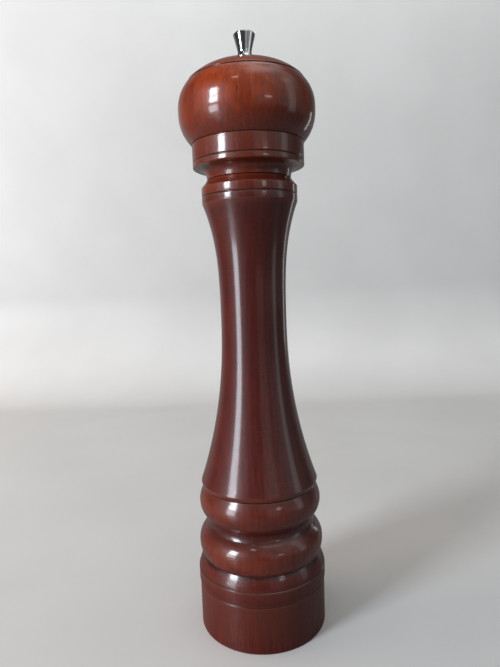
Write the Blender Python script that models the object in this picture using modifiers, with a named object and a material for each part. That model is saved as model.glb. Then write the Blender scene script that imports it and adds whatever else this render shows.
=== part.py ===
"""A turned wooden pepper mill with a metal grinding mechanism.

The frame: +Z up the mill's own axis, which every joint shares, and the origin at the
centre of the base's resting face. The wooden body stands on it and holds the fixed outer
burr. The head turns on the body's neck and drives a square shaft, which carries the inner
burr. The chromed nut on top of the head pulls the shaft up for a finer grind.
"""

import math

import bmesh
import bpy

MM = 0.001

# ---- Fits -----------------------------------------------------------------------------
SEAT_GAP = 0.3 * MM            # between two faces that touch
SPIGOT_CLEARANCE = 0.35 * MM   # radial, head spigot in the body's bore
SHAFT_CLEARANCE = 0.3 * MM     # each side, square shaft in a square hole
ROUND_CLEARANCE = 0.4 * MM     # radial, a round hole over the square shaft's corners
THREAD_CLEARANCE = 0.3 * MM    # radial, between the stand-ins for the two threads
SCREW_CLEARANCE = 0.3 * MM     # radial, screw shank in its hole
BURR_GAP = 0.45 * MM           # radial, between the two burrs' teeth

# ---- Body, from the base up -----------------------------------------------------------
FOOT_CHAMFER = 0.3 * MM
BASE_RADIUS = 33.5 * MM
BASE_HEIGHT = 24.3 * MM        # plain drum, up to the first scribed line
BAND_RADIUS = 33.9 * MM
BAND_HEIGHT = 7.9 * MM         # flat band, up to the second scribed line
SHOULDER_TOP_RADIUS = 31.0 * MM
SHOULDER_HEIGHT = 6.5 * MM
LOWER_BEAD_RADIUS = 32.87 * MM
LOWER_BEAD_HEIGHT = 15.2 * MM
LOWER_BEAD_MIDDLE = 7.4 * MM   # its widest place, above its bottom
COVE_RADIUS = 27.6 * MM
COVE_EDGE_RADIUS = 29.2 * MM
COVE_HEIGHT = 5.6 * MM
UPPER_BEAD_RADIUS = 32.03 * MM
UPPER_BEAD_HEIGHT = 16.4 * MM
UPPER_BEAD_MIDDLE = 8.8 * MM
COLUMN_FOOT_RADIUS = 30.7 * MM
COLUMN_FOOT_ROUND = 2.4 * MM   # height of the rounding at the column's lower edge
COLUMN_LINE_DEPTH = 1.65 * MM  # V line between the upper bead and the column
COLUMN_HEIGHT = 145.1 * MM
WAIST_RADIUS = 16.9 * MM
WAIST_RISE = 87.0 * MM         # waist above the column's foot
NECK_RADIUS = 24.0 * MM
LOWER_RING_HEIGHT = 3.8 * MM
UPPER_RING_HEIGHT = 4.6 * MM
LIP_RADIUS = 21.4 * MM
LIP_HEIGHT = 3.2 * MM
SCRIBE_DEPTH = 0.55 * MM       # V lines turned into the wood
SCRIBE_HALF = 0.35 * MM

# ---- Curves of the wood: the power of the distance from the widest or narrowest place ---
SHOULDER_POWER = 1.35
LOWER_BEAD_POWERS = (2.2, 2.3) # below and above its widest place
UPPER_BEAD_POWERS = (2.3, 1.6)
COLUMN_POWERS = (2.17, 3.2)    # below and above the waist
BULB_POWERS = (2.48, 2.42)
CAP_POWER = 3.08
SHOULDER_SHARES = (0.4, 0.75, 1.0)
CAP_SHARES = (1.0, 0.93, 0.84, 0.72, 0.56, 0.36)
UNDERSIDE_SHARES = ((0.17, 0.32), (0.6, 0.7))  # of the underside's width and height
BEAD_POINTS = 4
BULB_POINTS = 6
COLUMN_POINTS = (8, 7)

# ---- Hollows in the body --------------------------------------------------------------
CHAMBER_RADIUS = 12.0 * MM     # peppercorn chamber, one straight bore up to the neck
RECESS_DEPTH = 10.0 * MM       # open space under the mechanism
LEDGE_WIDTH = 5.7 * MM         # the wooden ledge that the retainer plate is screwed to

# ---- Head, from its parting line up ---------------------------------------------------
UNDERSIDE_HEIGHT = 5.6 * MM
COLLAR_RADIUS = 27.85 * MM
COLLAR_HEIGHT = 11.7 * MM
COLLAR_SCRIBE = 2.9 * MM       # above the collar's lower edge
BULB_FOOT_RADIUS = 28.1 * MM
BULB_RADIUS = 33.86 * MM
BULB_HEIGHT = 28.9 * MM
BULB_MIDDLE = 15.3 * MM
BULB_TOP_RADIUS = 29.1 * MM
CAP_HEIGHT = 8.9 * MM
CAP_FLAT_RADIUS = 5.6 * MM
SPIGOT_LENGTH = 17.0 * MM

# ---- Shaft, knob and washers ----------------------------------------------------------
SHAFT_SIDE = 4.8 * MM
THREAD_RADIUS = 2.35 * MM
THREAD_LENGTH = 25.0 * MM
THREAD_CAPTURE = 10.5 * MM     # thread inside the knob
THREAD_SPARE = 1.2 * MM        # knob's hole above the thread's end, for the finest setting
SHOULDER_SPARE = 2.5 * MM      # head's wide bore above the end of the square
SHAFT_TAIL = 1.3 * MM          # square end below the retaining clip
KNOB_HEIGHT = 13.4 * MM
KNOB_TOP_RADIUS = 5.4 * MM
KNOB_WAIST_RADIUS = 3.4 * MM
KNOB_FOOT_RADIUS = 4.7 * MM
KNOB_WAIST_RISE = 4.8 * MM
KNOB_FOOT_RISE = 1.6 * MM      # height of the flange at the knob's foot
KNOB_EDGE = 0.6 * MM           # rounding of its top edge
KNOB_FOOT_EDGE = 0.3 * MM
KNOB_POWER = 1.1               # how hollow its cone is
KNOB_POINTS = 3
KNOB_WASHER_RADIUS = 5.2 * MM
KNOB_WASHER_THICKNESS = 0.6 * MM

# ---- Burrs, spring and sheet-metal pieces ---------------------------------------------
ROTOR_RADIUS = 11.3 * MM       # over the fine teeth at its lower edge
ROTOR_HEIGHT = 11.4 * MM
ROTOR_FINE_HEIGHT = 5.4 * MM
ROTOR_TAPER = 1.4 * MM         # how much the fine cone narrows upwards
ROTOR_HUB_RADIUS = 5.4 * MM
ROTOR_NECK = 1.2 * MM          # height over which the fine teeth run out into the lobes
ROTOR_CROWN = 2.0 * MM         # height of the sloped top of the lobes
ROTOR_LOBE = 2.6 * MM          # lobes stand out this far past the hub, under the crown
ROTOR_FIRST_LOBE = 0.3         # share of a coarse tooth's depth where the lobes begin
ROTOR_LEAN = (1, 3, 4)         # columns that the lobes lean by, from their foot up
STATOR_WALL = 4.25 * MM
STATOR_HEIGHT = 20.0 * MM
STATOR_NECK = 2.0 * MM         # height over which the fine teeth run out into the lobes
STATOR_NECK_FLARE = 0.3 * MM
STATOR_MOUTH_LIP = 1.6 * MM
FINE_TOOTH = 0.7 * MM
COARSE_TOOTH = 1.6 * MM
PLATE_THICKNESS = 1.2 * MM
SEAT_THICKNESS = 1.0 * MM
ROTOR_WASHER_THICKNESS = 0.6 * MM
CLIP_THICKNESS = 0.8 * MM
CLIP_RADIUS = 4.8 * MM
WIRE = 0.8 * MM
SPRING_TURNS = 5
SEAT_MARGIN = 0.6 * MM         # seat and washer stand out this far past the spring
BRIDGE_HUB_WIDTH = 2.6 * MM
BRIDGE_ARM_WIDTH = 3.2 * MM
BRIDGE_ARMS = 3
OUTLET_MARGIN = 1.8 * MM       # retainer's opening past the rotor's teeth, radial

# ---- Wood screws ----------------------------------------------------------------------
SCREW_HEAD_RADIUS = 2.3 * MM
SCREW_HEAD_HEIGHT = 1.4 * MM
SCREW_RADIUS = 1.1 * MM
SCREW_LENGTH = 9.0 * MM        # under the head
SCREW_POINT = 2.0 * MM
SCREW_HEAD_SHARES = ((0.9, 0.4), (0.5, 0.0))   # of the head's radius and height
SCREW_HOLE_RADIUS = SCREW_RADIUS + SCREW_CLEARANCE
SCREW_HOLE_SPARE = 0.8 * MM    # hole deeper than the screw's point
SCREWS = 3

# ---- Facets ---------------------------------------------------------------------------
WOOD_STEPS = 40
METAL_STEPS = 28
SCREW_STEPS = 12
BURR_COLUMNS = 60
ROTOR_LOBES = 6
STATOR_LOBES = 10
WIRE_POINTS_PER_TURN = 12
OVERRUN = 2.0 * MM             # how far a tool runs past the surface that it cuts or joins

# ---- Heights that follow from the stack, above the resting face -----------------------
BAND_Z = BASE_HEIGHT
SHOULDER_Z = BAND_Z + BAND_HEIGHT
LOWER_BEAD_Z = SHOULDER_Z + SHOULDER_HEIGHT
COVE_Z = LOWER_BEAD_Z + LOWER_BEAD_HEIGHT
UPPER_BEAD_Z = COVE_Z + COVE_HEIGHT
COLUMN_Z = UPPER_BEAD_Z + UPPER_BEAD_HEIGHT
NECK_Z = COLUMN_Z + COLUMN_HEIGHT
UPPER_RING_Z = NECK_Z + LOWER_RING_HEIGHT
LIP_Z = UPPER_RING_Z + UPPER_RING_HEIGHT
BODY_TOP_Z = LIP_Z + LIP_HEIGHT

PARTING_Z = BODY_TOP_Z + SEAT_GAP
COLLAR_Z = PARTING_Z + UNDERSIDE_HEIGHT
BULB_Z = COLLAR_Z + COLLAR_HEIGHT
CAP_Z = BULB_Z + BULB_HEIGHT
CAP_TOP_Z = CAP_Z + CAP_HEIGHT
KNOB_WASHER_Z = CAP_TOP_Z + SEAT_GAP
KNOB_Z = KNOB_WASHER_Z + KNOB_WASHER_THICKNESS + SEAT_GAP
KNOB_TOP_Z = KNOB_Z + KNOB_HEIGHT
SPIGOT_Z = PARTING_Z - SPIGOT_LENGTH
DRIVE_PLATE_Z = SPIGOT_Z - SEAT_GAP - PLATE_THICKNESS
PLATE_SCREW_Z = DRIVE_PLATE_Z - SEAT_GAP - SCREW_HEAD_HEIGHT

STATOR_Z = RECESS_DEPTH
RETAINER_Z = STATOR_Z - SEAT_GAP - PLATE_THICKNESS
RETAINER_SCREW_Z = RETAINER_Z - SEAT_GAP - SCREW_HEAD_HEIGHT
BRIDGE_Z = STATOR_Z + STATOR_HEIGHT + SEAT_GAP
POCKET_TOP_Z = BRIDGE_Z + PLATE_THICKNESS + SEAT_GAP
SPRING_SEAT_Z = BRIDGE_Z - SEAT_GAP - SEAT_THICKNESS
ROTOR_Z = STATOR_Z - SEAT_GAP
ROTOR_WASHER_Z = ROTOR_Z + ROTOR_HEIGHT + SEAT_GAP
SPRING_LOW_Z = ROTOR_WASHER_Z + ROTOR_WASHER_THICKNESS + SEAT_GAP
SPRING_HIGH_Z = SPRING_SEAT_Z - SEAT_GAP
CLIP_Z = ROTOR_Z - SEAT_GAP - CLIP_THICKNESS
SHAFT_Z = CLIP_Z - SHAFT_TAIL
SHAFT_TOP_Z = KNOB_Z + THREAD_CAPTURE
SHAFT_SHOULDER_Z = SHAFT_TOP_Z - THREAD_LENGTH

# ---- Radii that follow from the fits --------------------------------------------------
SHAFT_CORNER = SHAFT_SIDE / 2 * math.sqrt(2)
SHAFT_BORE = SHAFT_CORNER + ROUND_CLEARANCE
SQUARE_HOLE = SHAFT_SIDE + 2 * SHAFT_CLEARANCE
NUT_BORE = THREAD_RADIUS + THREAD_CLEARANCE
STATOR_RADIUS = ROTOR_RADIUS + BURR_GAP + STATOR_WALL
POCKET_RADIUS = STATOR_RADIUS + SEAT_GAP
RECESS_RADIUS = POCKET_RADIUS + LEDGE_WIDTH
RETAINER_RADIUS = RECESS_RADIUS - SEAT_GAP
RETAINER_OPENING = ROTOR_RADIUS + OUTLET_MARGIN
RETAINER_SCREW_CIRCLE = POCKET_RADIUS + LEDGE_WIDTH / 2
SPIGOT_RADIUS = CHAMBER_RADIUS - SPIGOT_CLEARANCE
DRIVE_PLATE_RADIUS = SPIGOT_RADIUS - SPIGOT_CLEARANCE
PLATE_SCREW_CIRCLE = (SHAFT_BORE + DRIVE_PLATE_RADIUS) / 2
SPRING_RADIUS = SHAFT_BORE + WIRE / 2
SEAT_RADIUS = SPRING_RADIUS + WIRE / 2 + SEAT_MARGIN


# ---- Scene, collections and materials -------------------------------------------------
def clear_scene():
    for old in list(bpy.data.objects):
        bpy.data.objects.remove(old, do_unlink=True)


def new_collection(name):
    collection = bpy.data.collections.new(name)
    bpy.context.scene.collection.children.link(collection)
    return collection


def finish_of(name, color, roughness, metallic):
    """A Principled material with one plain colour, for one piece."""
    material = bpy.data.materials.new(name + "_finish")
    material.use_nodes = True
    shader = material.node_tree.nodes["Principled BSDF"]
    shader.inputs["Base Color"].default_value = (*color, 1.0)
    shader.inputs["Roughness"].default_value = roughness
    shader.inputs["Metallic"].default_value = metallic
    return material


MAHOGANY = ((0.16, 0.030, 0.012), 0.22, 0.0)
CHROME = ((0.75, 0.76, 0.78), 0.08, 1.0)
STEEL = ((0.42, 0.42, 0.43), 0.35, 1.0)
BURR_STEEL = ((0.20, 0.20, 0.21), 0.50, 1.0)
ALUMINIUM = ((0.68, 0.69, 0.70), 0.38, 1.0)


def add_object(name, data, finish, z=0.0):
    """A named piece in the mill's collection, standing on the axis at height z."""
    piece = bpy.data.objects.new(name, data)
    piece.location = (0.0, 0.0, z)
    mill.objects.link(piece)
    data.materials.append(finish_of(name, *finish))
    return piece


def add_cutter(name, mesh, location):
    """A wire-frame tool for Boolean cuts. It is no part of the mill."""
    cutter = bpy.data.objects.new(name, mesh)
    cutter.location = location
    cutter.hide_render = True
    cutter.display_type = "WIRE"
    cutters.objects.link(cutter)
    return cutter


def cut(piece, cutter):
    boolean = piece.modifiers.new("cut_" + cutter.name, "BOOLEAN")
    boolean.operation = "DIFFERENCE"
    boolean.solver = "EXACT"
    boolean.object = cutter


# ---- Shapes ---------------------------------------------------------------------------
def turned(name, profile, steps, finish, z=0.0):
    """Spins a profile of (radius, height) points about the axis with a Screw modifier.

    The profile runs down the outer side. One that starts and ends on the axis is left
    open there, and any other is closed, as for a ring or a sleeve.
    """
    on_axis = profile[0][0] == 0.0
    count = len(profile)
    edges = [(i, (i + 1) % count) for i in range(count - 1 if on_axis else count)]
    mesh = bpy.data.meshes.new(name)
    mesh.from_pydata([(radius, 0.0, height) for radius, height in profile], edges, [])
    piece = add_object(name, mesh, finish, z)
    screw = piece.modifiers.new("turn", "SCREW")
    screw.axis = "Z"
    screw.steps = steps
    screw.render_steps = steps
    screw.use_merge_vertices = True
    screw.merge_threshold = 0.00001
    screw.use_smooth_shade = True
    return piece


def swell(low, peak, high, powers, count):
    """Points up a rounded form, each (radius, height), from low through its widest place
    to high. The radius falls off from the peak as the given powers of the distance."""
    points = []
    for end, power in zip((low, high), powers):
        side = []
        for step in range(count + 1):
            share = math.cos(math.pi / 2 * step / count)
            radius = peak[0] - (peak[0] - end[0]) * share ** power
            side.append((radius, peak[1] + (end[1] - peak[1]) * share))
        points.append(side)
    return points[0] + points[1][-2::-1]


def flare(waist, end, power, count):
    """Points from a waist to one end of a hollow curve, radius rising as a power."""
    points = []
    for step in range(count + 1):
        share = step / count
        radius = waist[0] + (end[0] - waist[0]) * share ** power
        points.append((radius, waist[1] + (end[1] - waist[1]) * share))
    return points


def scribe(radius, height):
    """The three points of a V line turned into a surface of that radius."""
    return [
        (radius, height - SCRIBE_HALF),
        (radius - SCRIBE_DEPTH, height),
        (radius, height + SCRIBE_HALF),
    ]


def circle_points(radius, count, centre=(0.0, 0.0)):
    turns = [2 * math.pi * i / count for i in range(count)]
    return [(centre[0] + radius * math.cos(t), centre[1] + radius * math.sin(t)) for t in turns]


def square_points(side):
    half = side / 2
    return [(half, half), (-half, half), (-half, -half), (half, -half)]


def ring_of_centres(radius, count):
    """Evenly spaced centres on a circle, the first half a step round from +X."""
    return circle_points(radius, count * 2)[1::2]


def window_points(inner, outer, first, last, count=8):
    """A kidney-shaped window between two radii and two angles."""
    angles = [first + (last - first) * i / count for i in range(count + 1)]
    outside = [(outer * math.cos(a), outer * math.sin(a)) for a in angles]
    inside = [(inner * math.cos(a), inner * math.sin(a)) for a in reversed(angles)]
    return outside + inside


def plate(name, outlines, thickness, z, finish):
    """A flat plate with its underside at z: the first outline with the rest cut out."""
    curve = bpy.data.curves.new(name, "CURVE")
    curve.dimensions = "2D"
    curve.fill_mode = "BOTH"
    curve.extrude = thickness / 2
    for outline in outlines:
        spline = curve.splines.new("POLY")
        spline.points.add(len(outline) - 1)
        for point, (x, y) in zip(spline.points, outline):
            point.co = (x, y, 0.0, 1.0)
        spline.use_cyclic_u = True
    return add_object(name, curve, finish, z + thickness / 2)


def cylinder_mesh(name, radius, length, steps):
    """A closed cylinder standing on its own origin."""
    mesh = bpy.data.meshes.new(name)
    shape = bmesh.new()
    bmesh.ops.create_cone(
        shape, cap_ends=True, segments=steps, radius1=radius, radius2=radius, depth=length
    )
    bmesh.ops.translate(shape, verts=shape.verts, vec=(0.0, 0.0, length / 2))
    shape.to_mesh(mesh)
    shape.free()
    return mesh


def square_bar_mesh(name, side, length):
    """A closed square bar standing on its own origin."""
    mesh = bpy.data.meshes.new(name)
    shape = bmesh.new()
    bmesh.ops.create_cube(shape, size=1.0)
    bmesh.ops.scale(shape, verts=shape.verts, vec=(side, side, length))
    bmesh.ops.translate(shape, verts=shape.verts, vec=(0.0, 0.0, length / 2))
    shape.to_mesh(mesh)
    shape.free()
    return mesh


def tooth_wave(share):
    """A triangle wave: 1 on a whole number, 0 half way between."""
    return abs(2 * (share % 1.0) - 1)


def toothed_wall(rings, columns, radius_at):
    """Rows of points round the axis, one row for each (height, shape) ring."""
    rows = []
    for height, shape in rings:
        row = []
        for column in range(columns):
            angle = 2 * math.pi * column / columns
            radius = radius_at(column, shape)
            row.append((radius * math.cos(angle), radius * math.sin(angle), height))
        rows.append(row)
    return rows


def loft_mesh(name, rows, closed):
    """Joins rows of points into one skin. A closed skin's last row meets its first, and
    an open one is capped at both ends. The rows go up the outer side."""
    mesh = bpy.data.meshes.new(name)
    shape = bmesh.new()
    loops = [[shape.verts.new(point) for point in row] for row in rows]
    count = len(rows[0])
    pairs = list(zip(loops, loops[1:]))
    if closed:
        pairs.append((loops[-1], loops[0]))
    for below, above in pairs:
        for i in range(count):
            j = (i + 1) % count
            shape.faces.new((below[i], below[j], above[j], above[i]))
    if not closed:
        shape.faces.new(list(reversed(loops[0])))
        shape.faces.new(loops[-1])
    shape.to_mesh(mesh)
    shape.free()
    return mesh


# ---- Wooden pieces --------------------------------------------------------------------
def body_outline():
    """The body's turned outside, from the resting face up to the lip, in (radius, height)."""
    waist_z = COLUMN_Z + WAIST_RISE
    lower_bead = swell(
        (SHOULDER_TOP_RADIUS, LOWER_BEAD_Z),
        (LOWER_BEAD_RADIUS, LOWER_BEAD_Z + LOWER_BEAD_MIDDLE),
        (COVE_EDGE_RADIUS, COVE_Z),
        LOWER_BEAD_POWERS, BEAD_POINTS,
    )
    upper_bead = swell(
        (COVE_EDGE_RADIUS - SCRIBE_DEPTH, UPPER_BEAD_Z),
        (UPPER_BEAD_RADIUS, UPPER_BEAD_Z + UPPER_BEAD_MIDDLE),
        (COLUMN_FOOT_RADIUS - COLUMN_LINE_DEPTH * 2 / 3, COLUMN_Z - SCRIBE_HALF),
        UPPER_BEAD_POWERS, BEAD_POINTS,
    )
    shoulder = [
        (BASE_RADIUS - (BASE_RADIUS - SHOULDER_TOP_RADIUS) * share ** SHOULDER_POWER,
         SHOULDER_Z + SCRIBE_HALF + (SHOULDER_HEIGHT - SCRIBE_HALF) * share)
        for share in SHOULDER_SHARES
    ]
    cove_middle = [
        (COVE_EDGE_RADIUS - SCRIBE_DEPTH, COVE_Z + SCRIBE_HALF),
        (COVE_RADIUS, COVE_Z + COVE_HEIGHT / 2),
    ]
    column_foot = (COLUMN_FOOT_RADIUS, COLUMN_Z + COLUMN_FOOT_ROUND)
    column_low = flare((WAIST_RADIUS, waist_z), column_foot, COLUMN_POWERS[0], COLUMN_POINTS[0])
    column_top = (NECK_RADIUS - SCRIBE_DEPTH / 4, NECK_Z)
    column_high = flare((WAIST_RADIUS, waist_z), column_top, COLUMN_POWERS[1], COLUMN_POINTS[1])
    ring_top = (NECK_RADIUS, LIP_Z - SCRIBE_HALF)
    chamfer = (LIP_RADIUS + (NECK_RADIUS - LIP_RADIUS) / 3, LIP_Z + LIP_HEIGHT / 2)
    return (
        [(BASE_RADIUS - FOOT_CHAMFER, 0.0), (BASE_RADIUS, FOOT_CHAMFER)]
        + scribe(BASE_RADIUS, BAND_Z)
        + scribe(BAND_RADIUS, SHOULDER_Z)
        + shoulder
        + lower_bead[1:]
        + cove_middle
        + upper_bead
        + [(COLUMN_FOOT_RADIUS - COLUMN_LINE_DEPTH, COLUMN_Z)]
        + [(COLUMN_FOOT_RADIUS - COLUMN_LINE_DEPTH / 3, COLUMN_Z + SCRIBE_HALF)]
        + column_low[::-1]
        + column_high[1:]
        + [(NECK_RADIUS, NECK_Z + SCRIBE_HALF)]
        + scribe(NECK_RADIUS, UPPER_RING_Z)
        + [ring_top, chamfer]
        + [(LIP_RADIUS, BODY_TOP_Z - SCRIBE_HALF), (LIP_RADIUS - SCRIBE_HALF, BODY_TOP_Z)]
    )


def body_bore():
    """The body's inside, from the resting face up to the top of the neck."""
    return [
        (RECESS_RADIUS, 0.0),
        (RECESS_RADIUS, STATOR_Z),
        (POCKET_RADIUS, STATOR_Z),
        (POCKET_RADIUS, POCKET_TOP_Z),
        (CHAMBER_RADIUS, POCKET_TOP_Z),
        (CHAMBER_RADIUS, BODY_TOP_Z),
    ]


def screw_pilots(piece, circle, low_z, name):
    """Blind holes up into a piece of wood, one for each screw."""
    mesh = cylinder_mesh(
        name, SCREW_HOLE_RADIUS, SCREW_HEAD_HEIGHT + SCREW_LENGTH + SCREW_HOLE_SPARE, SCREW_STEPS
    )
    for number, (x, y) in enumerate(ring_of_centres(circle, SCREWS), 1):
        cut(piece, add_cutter(f"{name}_{number}", mesh, (x, y, low_z)))


def make_body():
    profile = body_outline()[::-1] + body_bore()
    body = turned("body", profile, WOOD_STEPS, MAHOGANY)
    screw_pilots(body, RETAINER_SCREW_CIRCLE, RETAINER_SCREW_Z, "retainer_pilot")
    return body


def head_outline():
    """The head's turned outside, from its parting line up to the flat under the washer."""
    bulb = swell(
        (BULB_FOOT_RADIUS, BULB_Z),
        (BULB_RADIUS, BULB_Z + BULB_MIDDLE),
        (BULB_TOP_RADIUS, CAP_Z - SCRIBE_HALF),
        BULB_POWERS, BULB_POINTS,
    )
    underside = [(LIP_RADIUS - SCRIBE_HALF, PARTING_Z)]
    for out, up in UNDERSIDE_SHARES:
        radius = LIP_RADIUS + (COLLAR_RADIUS - LIP_RADIUS) * out
        underside.append((radius, PARTING_Z + UNDERSIDE_HEIGHT * up))
    underside += [(COLLAR_RADIUS - SCRIBE_HALF, COLLAR_Z), (COLLAR_RADIUS, COLLAR_Z + SCRIBE_HALF)]
    cap_rim = BULB_TOP_RADIUS - SCRIBE_HALF
    cap = []
    for share in CAP_SHARES:
        radius = cap_rim * share
        cap.append((radius, CAP_TOP_Z - (CAP_HEIGHT - SCRIBE_HALF) * share ** CAP_POWER))
    return (
        underside
        + scribe(COLLAR_RADIUS, COLLAR_Z + COLLAR_SCRIBE)
        + [(COLLAR_RADIUS, BULB_Z - SCRIBE_HALF), (COLLAR_RADIUS - SCRIBE_DEPTH, BULB_Z)]
        + bulb
        + [(BULB_TOP_RADIUS - SCRIBE_DEPTH - SCRIBE_HALF, CAP_Z)]
        + cap
        + [(CAP_FLAT_RADIUS, CAP_TOP_Z)]
    )


def make_head():
    shoulder_z = SHAFT_SHOULDER_Z + SHOULDER_SPARE
    inside = [
        (NUT_BORE, CAP_TOP_Z),
        (NUT_BORE, shoulder_z),
        (SHAFT_BORE, shoulder_z),
        (SHAFT_BORE, SPIGOT_Z),
        (SPIGOT_RADIUS, SPIGOT_Z),
        (SPIGOT_RADIUS, PARTING_Z),
    ]
    head = turned("head", head_outline()[::-1] + inside[::-1], WOOD_STEPS, MAHOGANY)
    screw_pilots(head, PLATE_SCREW_CIRCLE, PLATE_SCREW_Z, "plate_pilot")
    return head


# ---- Metal pieces ---------------------------------------------------------------------
def make_screws(name, circle, low_z):
    """Round-head wood screws driven upwards, each a separate piece."""
    tip = SCREW_HEAD_HEIGHT + SCREW_LENGTH
    profile = [
        (0.0, tip),
        (SCREW_RADIUS, tip - SCREW_POINT),
        (SCREW_RADIUS, SCREW_HEAD_HEIGHT),
        (SCREW_HEAD_RADIUS, SCREW_HEAD_HEIGHT),
    ]
    for out, up in SCREW_HEAD_SHARES:
        profile.append((SCREW_HEAD_RADIUS * out, SCREW_HEAD_HEIGHT * up))
    profile.append((0.0, 0.0))
    screws = []
    for number, (x, y) in enumerate(ring_of_centres(circle, SCREWS), 1):
        screw = turned(f"{name}_{number}", profile, SCREW_STEPS, STEEL)
        screw.location = (x, y, low_z)
        screws.append(screw)
    return screws


def make_stator():
    """The fixed outer burr: fine teeth in the lower cone, coarse ones in the funnel."""
    fine_tip = ROTOR_RADIUS + BURR_GAP
    throat_tip = fine_tip - ROTOR_TAPER
    mouth_root = STATOR_RADIUS - STATOR_MOUTH_LIP
    inner = [
        (0.0, (fine_tip, FINE_TOOTH, 1)),
        (ROTOR_FINE_HEIGHT, (throat_tip, FINE_TOOTH, 1)),
        (ROTOR_FINE_HEIGHT + STATOR_NECK, (throat_tip + STATOR_NECK_FLARE, COARSE_TOOTH, 3)),
        (STATOR_HEIGHT, (mouth_root - COARSE_TOOTH, COARSE_TOOTH, 3)),
    ]

    def inner_radius(column, shape):
        tip, depth, pitch = shape
        if pitch == 1:
            return tip + depth * (column % 2)
        lobes = tooth_wave(column * STATOR_LOBES / BURR_COLUMNS)
        return tip + depth * lobes

    inside = toothed_wall(inner, BURR_COLUMNS, inner_radius)
    outside = toothed_wall(
        [(0.0, STATOR_RADIUS), (STATOR_HEIGHT, STATOR_RADIUS)], BURR_COLUMNS, lambda _, r: r
    )
    mesh = loft_mesh("stator", outside + inside[::-1], closed=True)
    return add_object("stator", mesh, BURR_STEEL, STATOR_Z)


def make_rotor():
    """The turning inner burr: a fine-toothed cone below six breaker lobes."""
    throat = ROTOR_RADIUS - ROTOR_TAPER
    first_depth = ROTOR_FIRST_LOBE * COARSE_TOOTH
    levels = [
        (0.0, (ROTOR_RADIUS, 0.0, 0)),
        (ROTOR_FINE_HEIGHT, (throat, 0.0, 0)),
        (ROTOR_FINE_HEIGHT + ROTOR_NECK, (throat - FINE_TOOTH, first_depth, ROTOR_LEAN[0])),
        (ROTOR_HEIGHT - ROTOR_CROWN, (ROTOR_HUB_RADIUS + ROTOR_LOBE, COARSE_TOOTH, ROTOR_LEAN[1])),
        (ROTOR_HEIGHT, (ROTOR_HUB_RADIUS + COARSE_TOOTH, COARSE_TOOTH, ROTOR_LEAN[2])),
    ]

    def outer_radius(column, shape):
        tip, depth, twist = shape
        if depth == 0.0:
            return tip - FINE_TOOTH * (column % 2)
        lobes = tooth_wave((column + twist) * ROTOR_LOBES / BURR_COLUMNS)
        return tip - depth * (1 - lobes)

    mesh = loft_mesh("rotor", toothed_wall(levels, BURR_COLUMNS, outer_radius), closed=False)
    rotor = add_object("rotor", mesh, BURR_STEEL, ROTOR_Z)
    slot = square_bar_mesh("rotor_slot", SQUARE_HOLE, ROTOR_HEIGHT + 2 * OVERRUN)
    cut(rotor, add_cutter("rotor_slot", slot, (0.0, 0.0, ROTOR_Z - OVERRUN)))
    return rotor


def make_bridge():
    """The spider over the outer burr: a ring and three arms round a guide hole."""
    hub = SHAFT_BORE + BRIDGE_HUB_WIDTH
    ring = STATOR_RADIUS - STATOR_MOUTH_LIP - COARSE_TOOTH
    middle = (hub + ring) / 2
    half_arm = math.asin(BRIDGE_ARM_WIDTH / 2 / middle)
    outlines = [
        circle_points(STATOR_RADIUS, WOOD_STEPS),
        circle_points(SHAFT_BORE, METAL_STEPS),
    ]
    for arm in range(BRIDGE_ARMS):
        first = 2 * math.pi * arm / BRIDGE_ARMS + half_arm
        last = 2 * math.pi * (arm + 1) / BRIDGE_ARMS - half_arm
        outlines.append(window_points(hub, ring, first, last))
    return plate("bridge", outlines, PLATE_THICKNESS, BRIDGE_Z, STEEL)


def make_retainer():
    outlines = [
        circle_points(RETAINER_RADIUS, WOOD_STEPS),
        circle_points(RETAINER_OPENING, WOOD_STEPS),
    ]
    for centre in ring_of_centres(RETAINER_SCREW_CIRCLE, SCREWS):
        outlines.append(circle_points(SCREW_HOLE_RADIUS, SCREW_STEPS, centre))
    return plate("retainer_plate", outlines, PLATE_THICKNESS, RETAINER_Z, STEEL)


def make_drive_plate():
    outlines = [circle_points(DRIVE_PLATE_RADIUS, WOOD_STEPS), square_points(SQUARE_HOLE)]
    for centre in ring_of_centres(PLATE_SCREW_CIRCLE, SCREWS):
        outlines.append(circle_points(SCREW_HOLE_RADIUS, SCREW_STEPS, centre))
    return plate("drive_plate", outlines, PLATE_THICKNESS, DRIVE_PLATE_Z, STEEL)


def square_hole_washer(name, radius, thickness, z, finish):
    outlines = [circle_points(radius, METAL_STEPS), square_points(SQUARE_HOLE)]
    return plate(name, outlines, thickness, z, finish)


def make_knob_washer():
    outlines = [
        circle_points(KNOB_WASHER_RADIUS, METAL_STEPS),
        circle_points(NUT_BORE, METAL_STEPS),
    ]
    return plate("knob_washer", outlines, KNOB_WASHER_THICKNESS, KNOB_WASHER_Z, CHROME)


def make_spring():
    """A compression spring round the shaft. Its centreline is a helix."""
    low = SPRING_LOW_Z + WIRE / 2
    high = SPRING_HIGH_Z - WIRE / 2
    count = SPRING_TURNS * WIRE_POINTS_PER_TURN
    curve = bpy.data.curves.new("spring", "CURVE")
    curve.dimensions = "3D"
    curve.fill_mode = "FULL"
    curve.bevel_depth = WIRE / 2
    curve.bevel_resolution = 2
    curve.use_fill_caps = True
    spline = curve.splines.new("POLY")
    spline.points.add(count)
    for i, point in enumerate(spline.points):
        angle = 2 * math.pi * i / WIRE_POINTS_PER_TURN
        height = low + (high - low) * i / count - SPRING_HIGH_Z
        point.co = (SPRING_RADIUS * math.cos(angle), SPRING_RADIUS * math.sin(angle), height, 1.0)
    return add_object("spring", curve, STEEL, SPRING_HIGH_Z)


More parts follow.
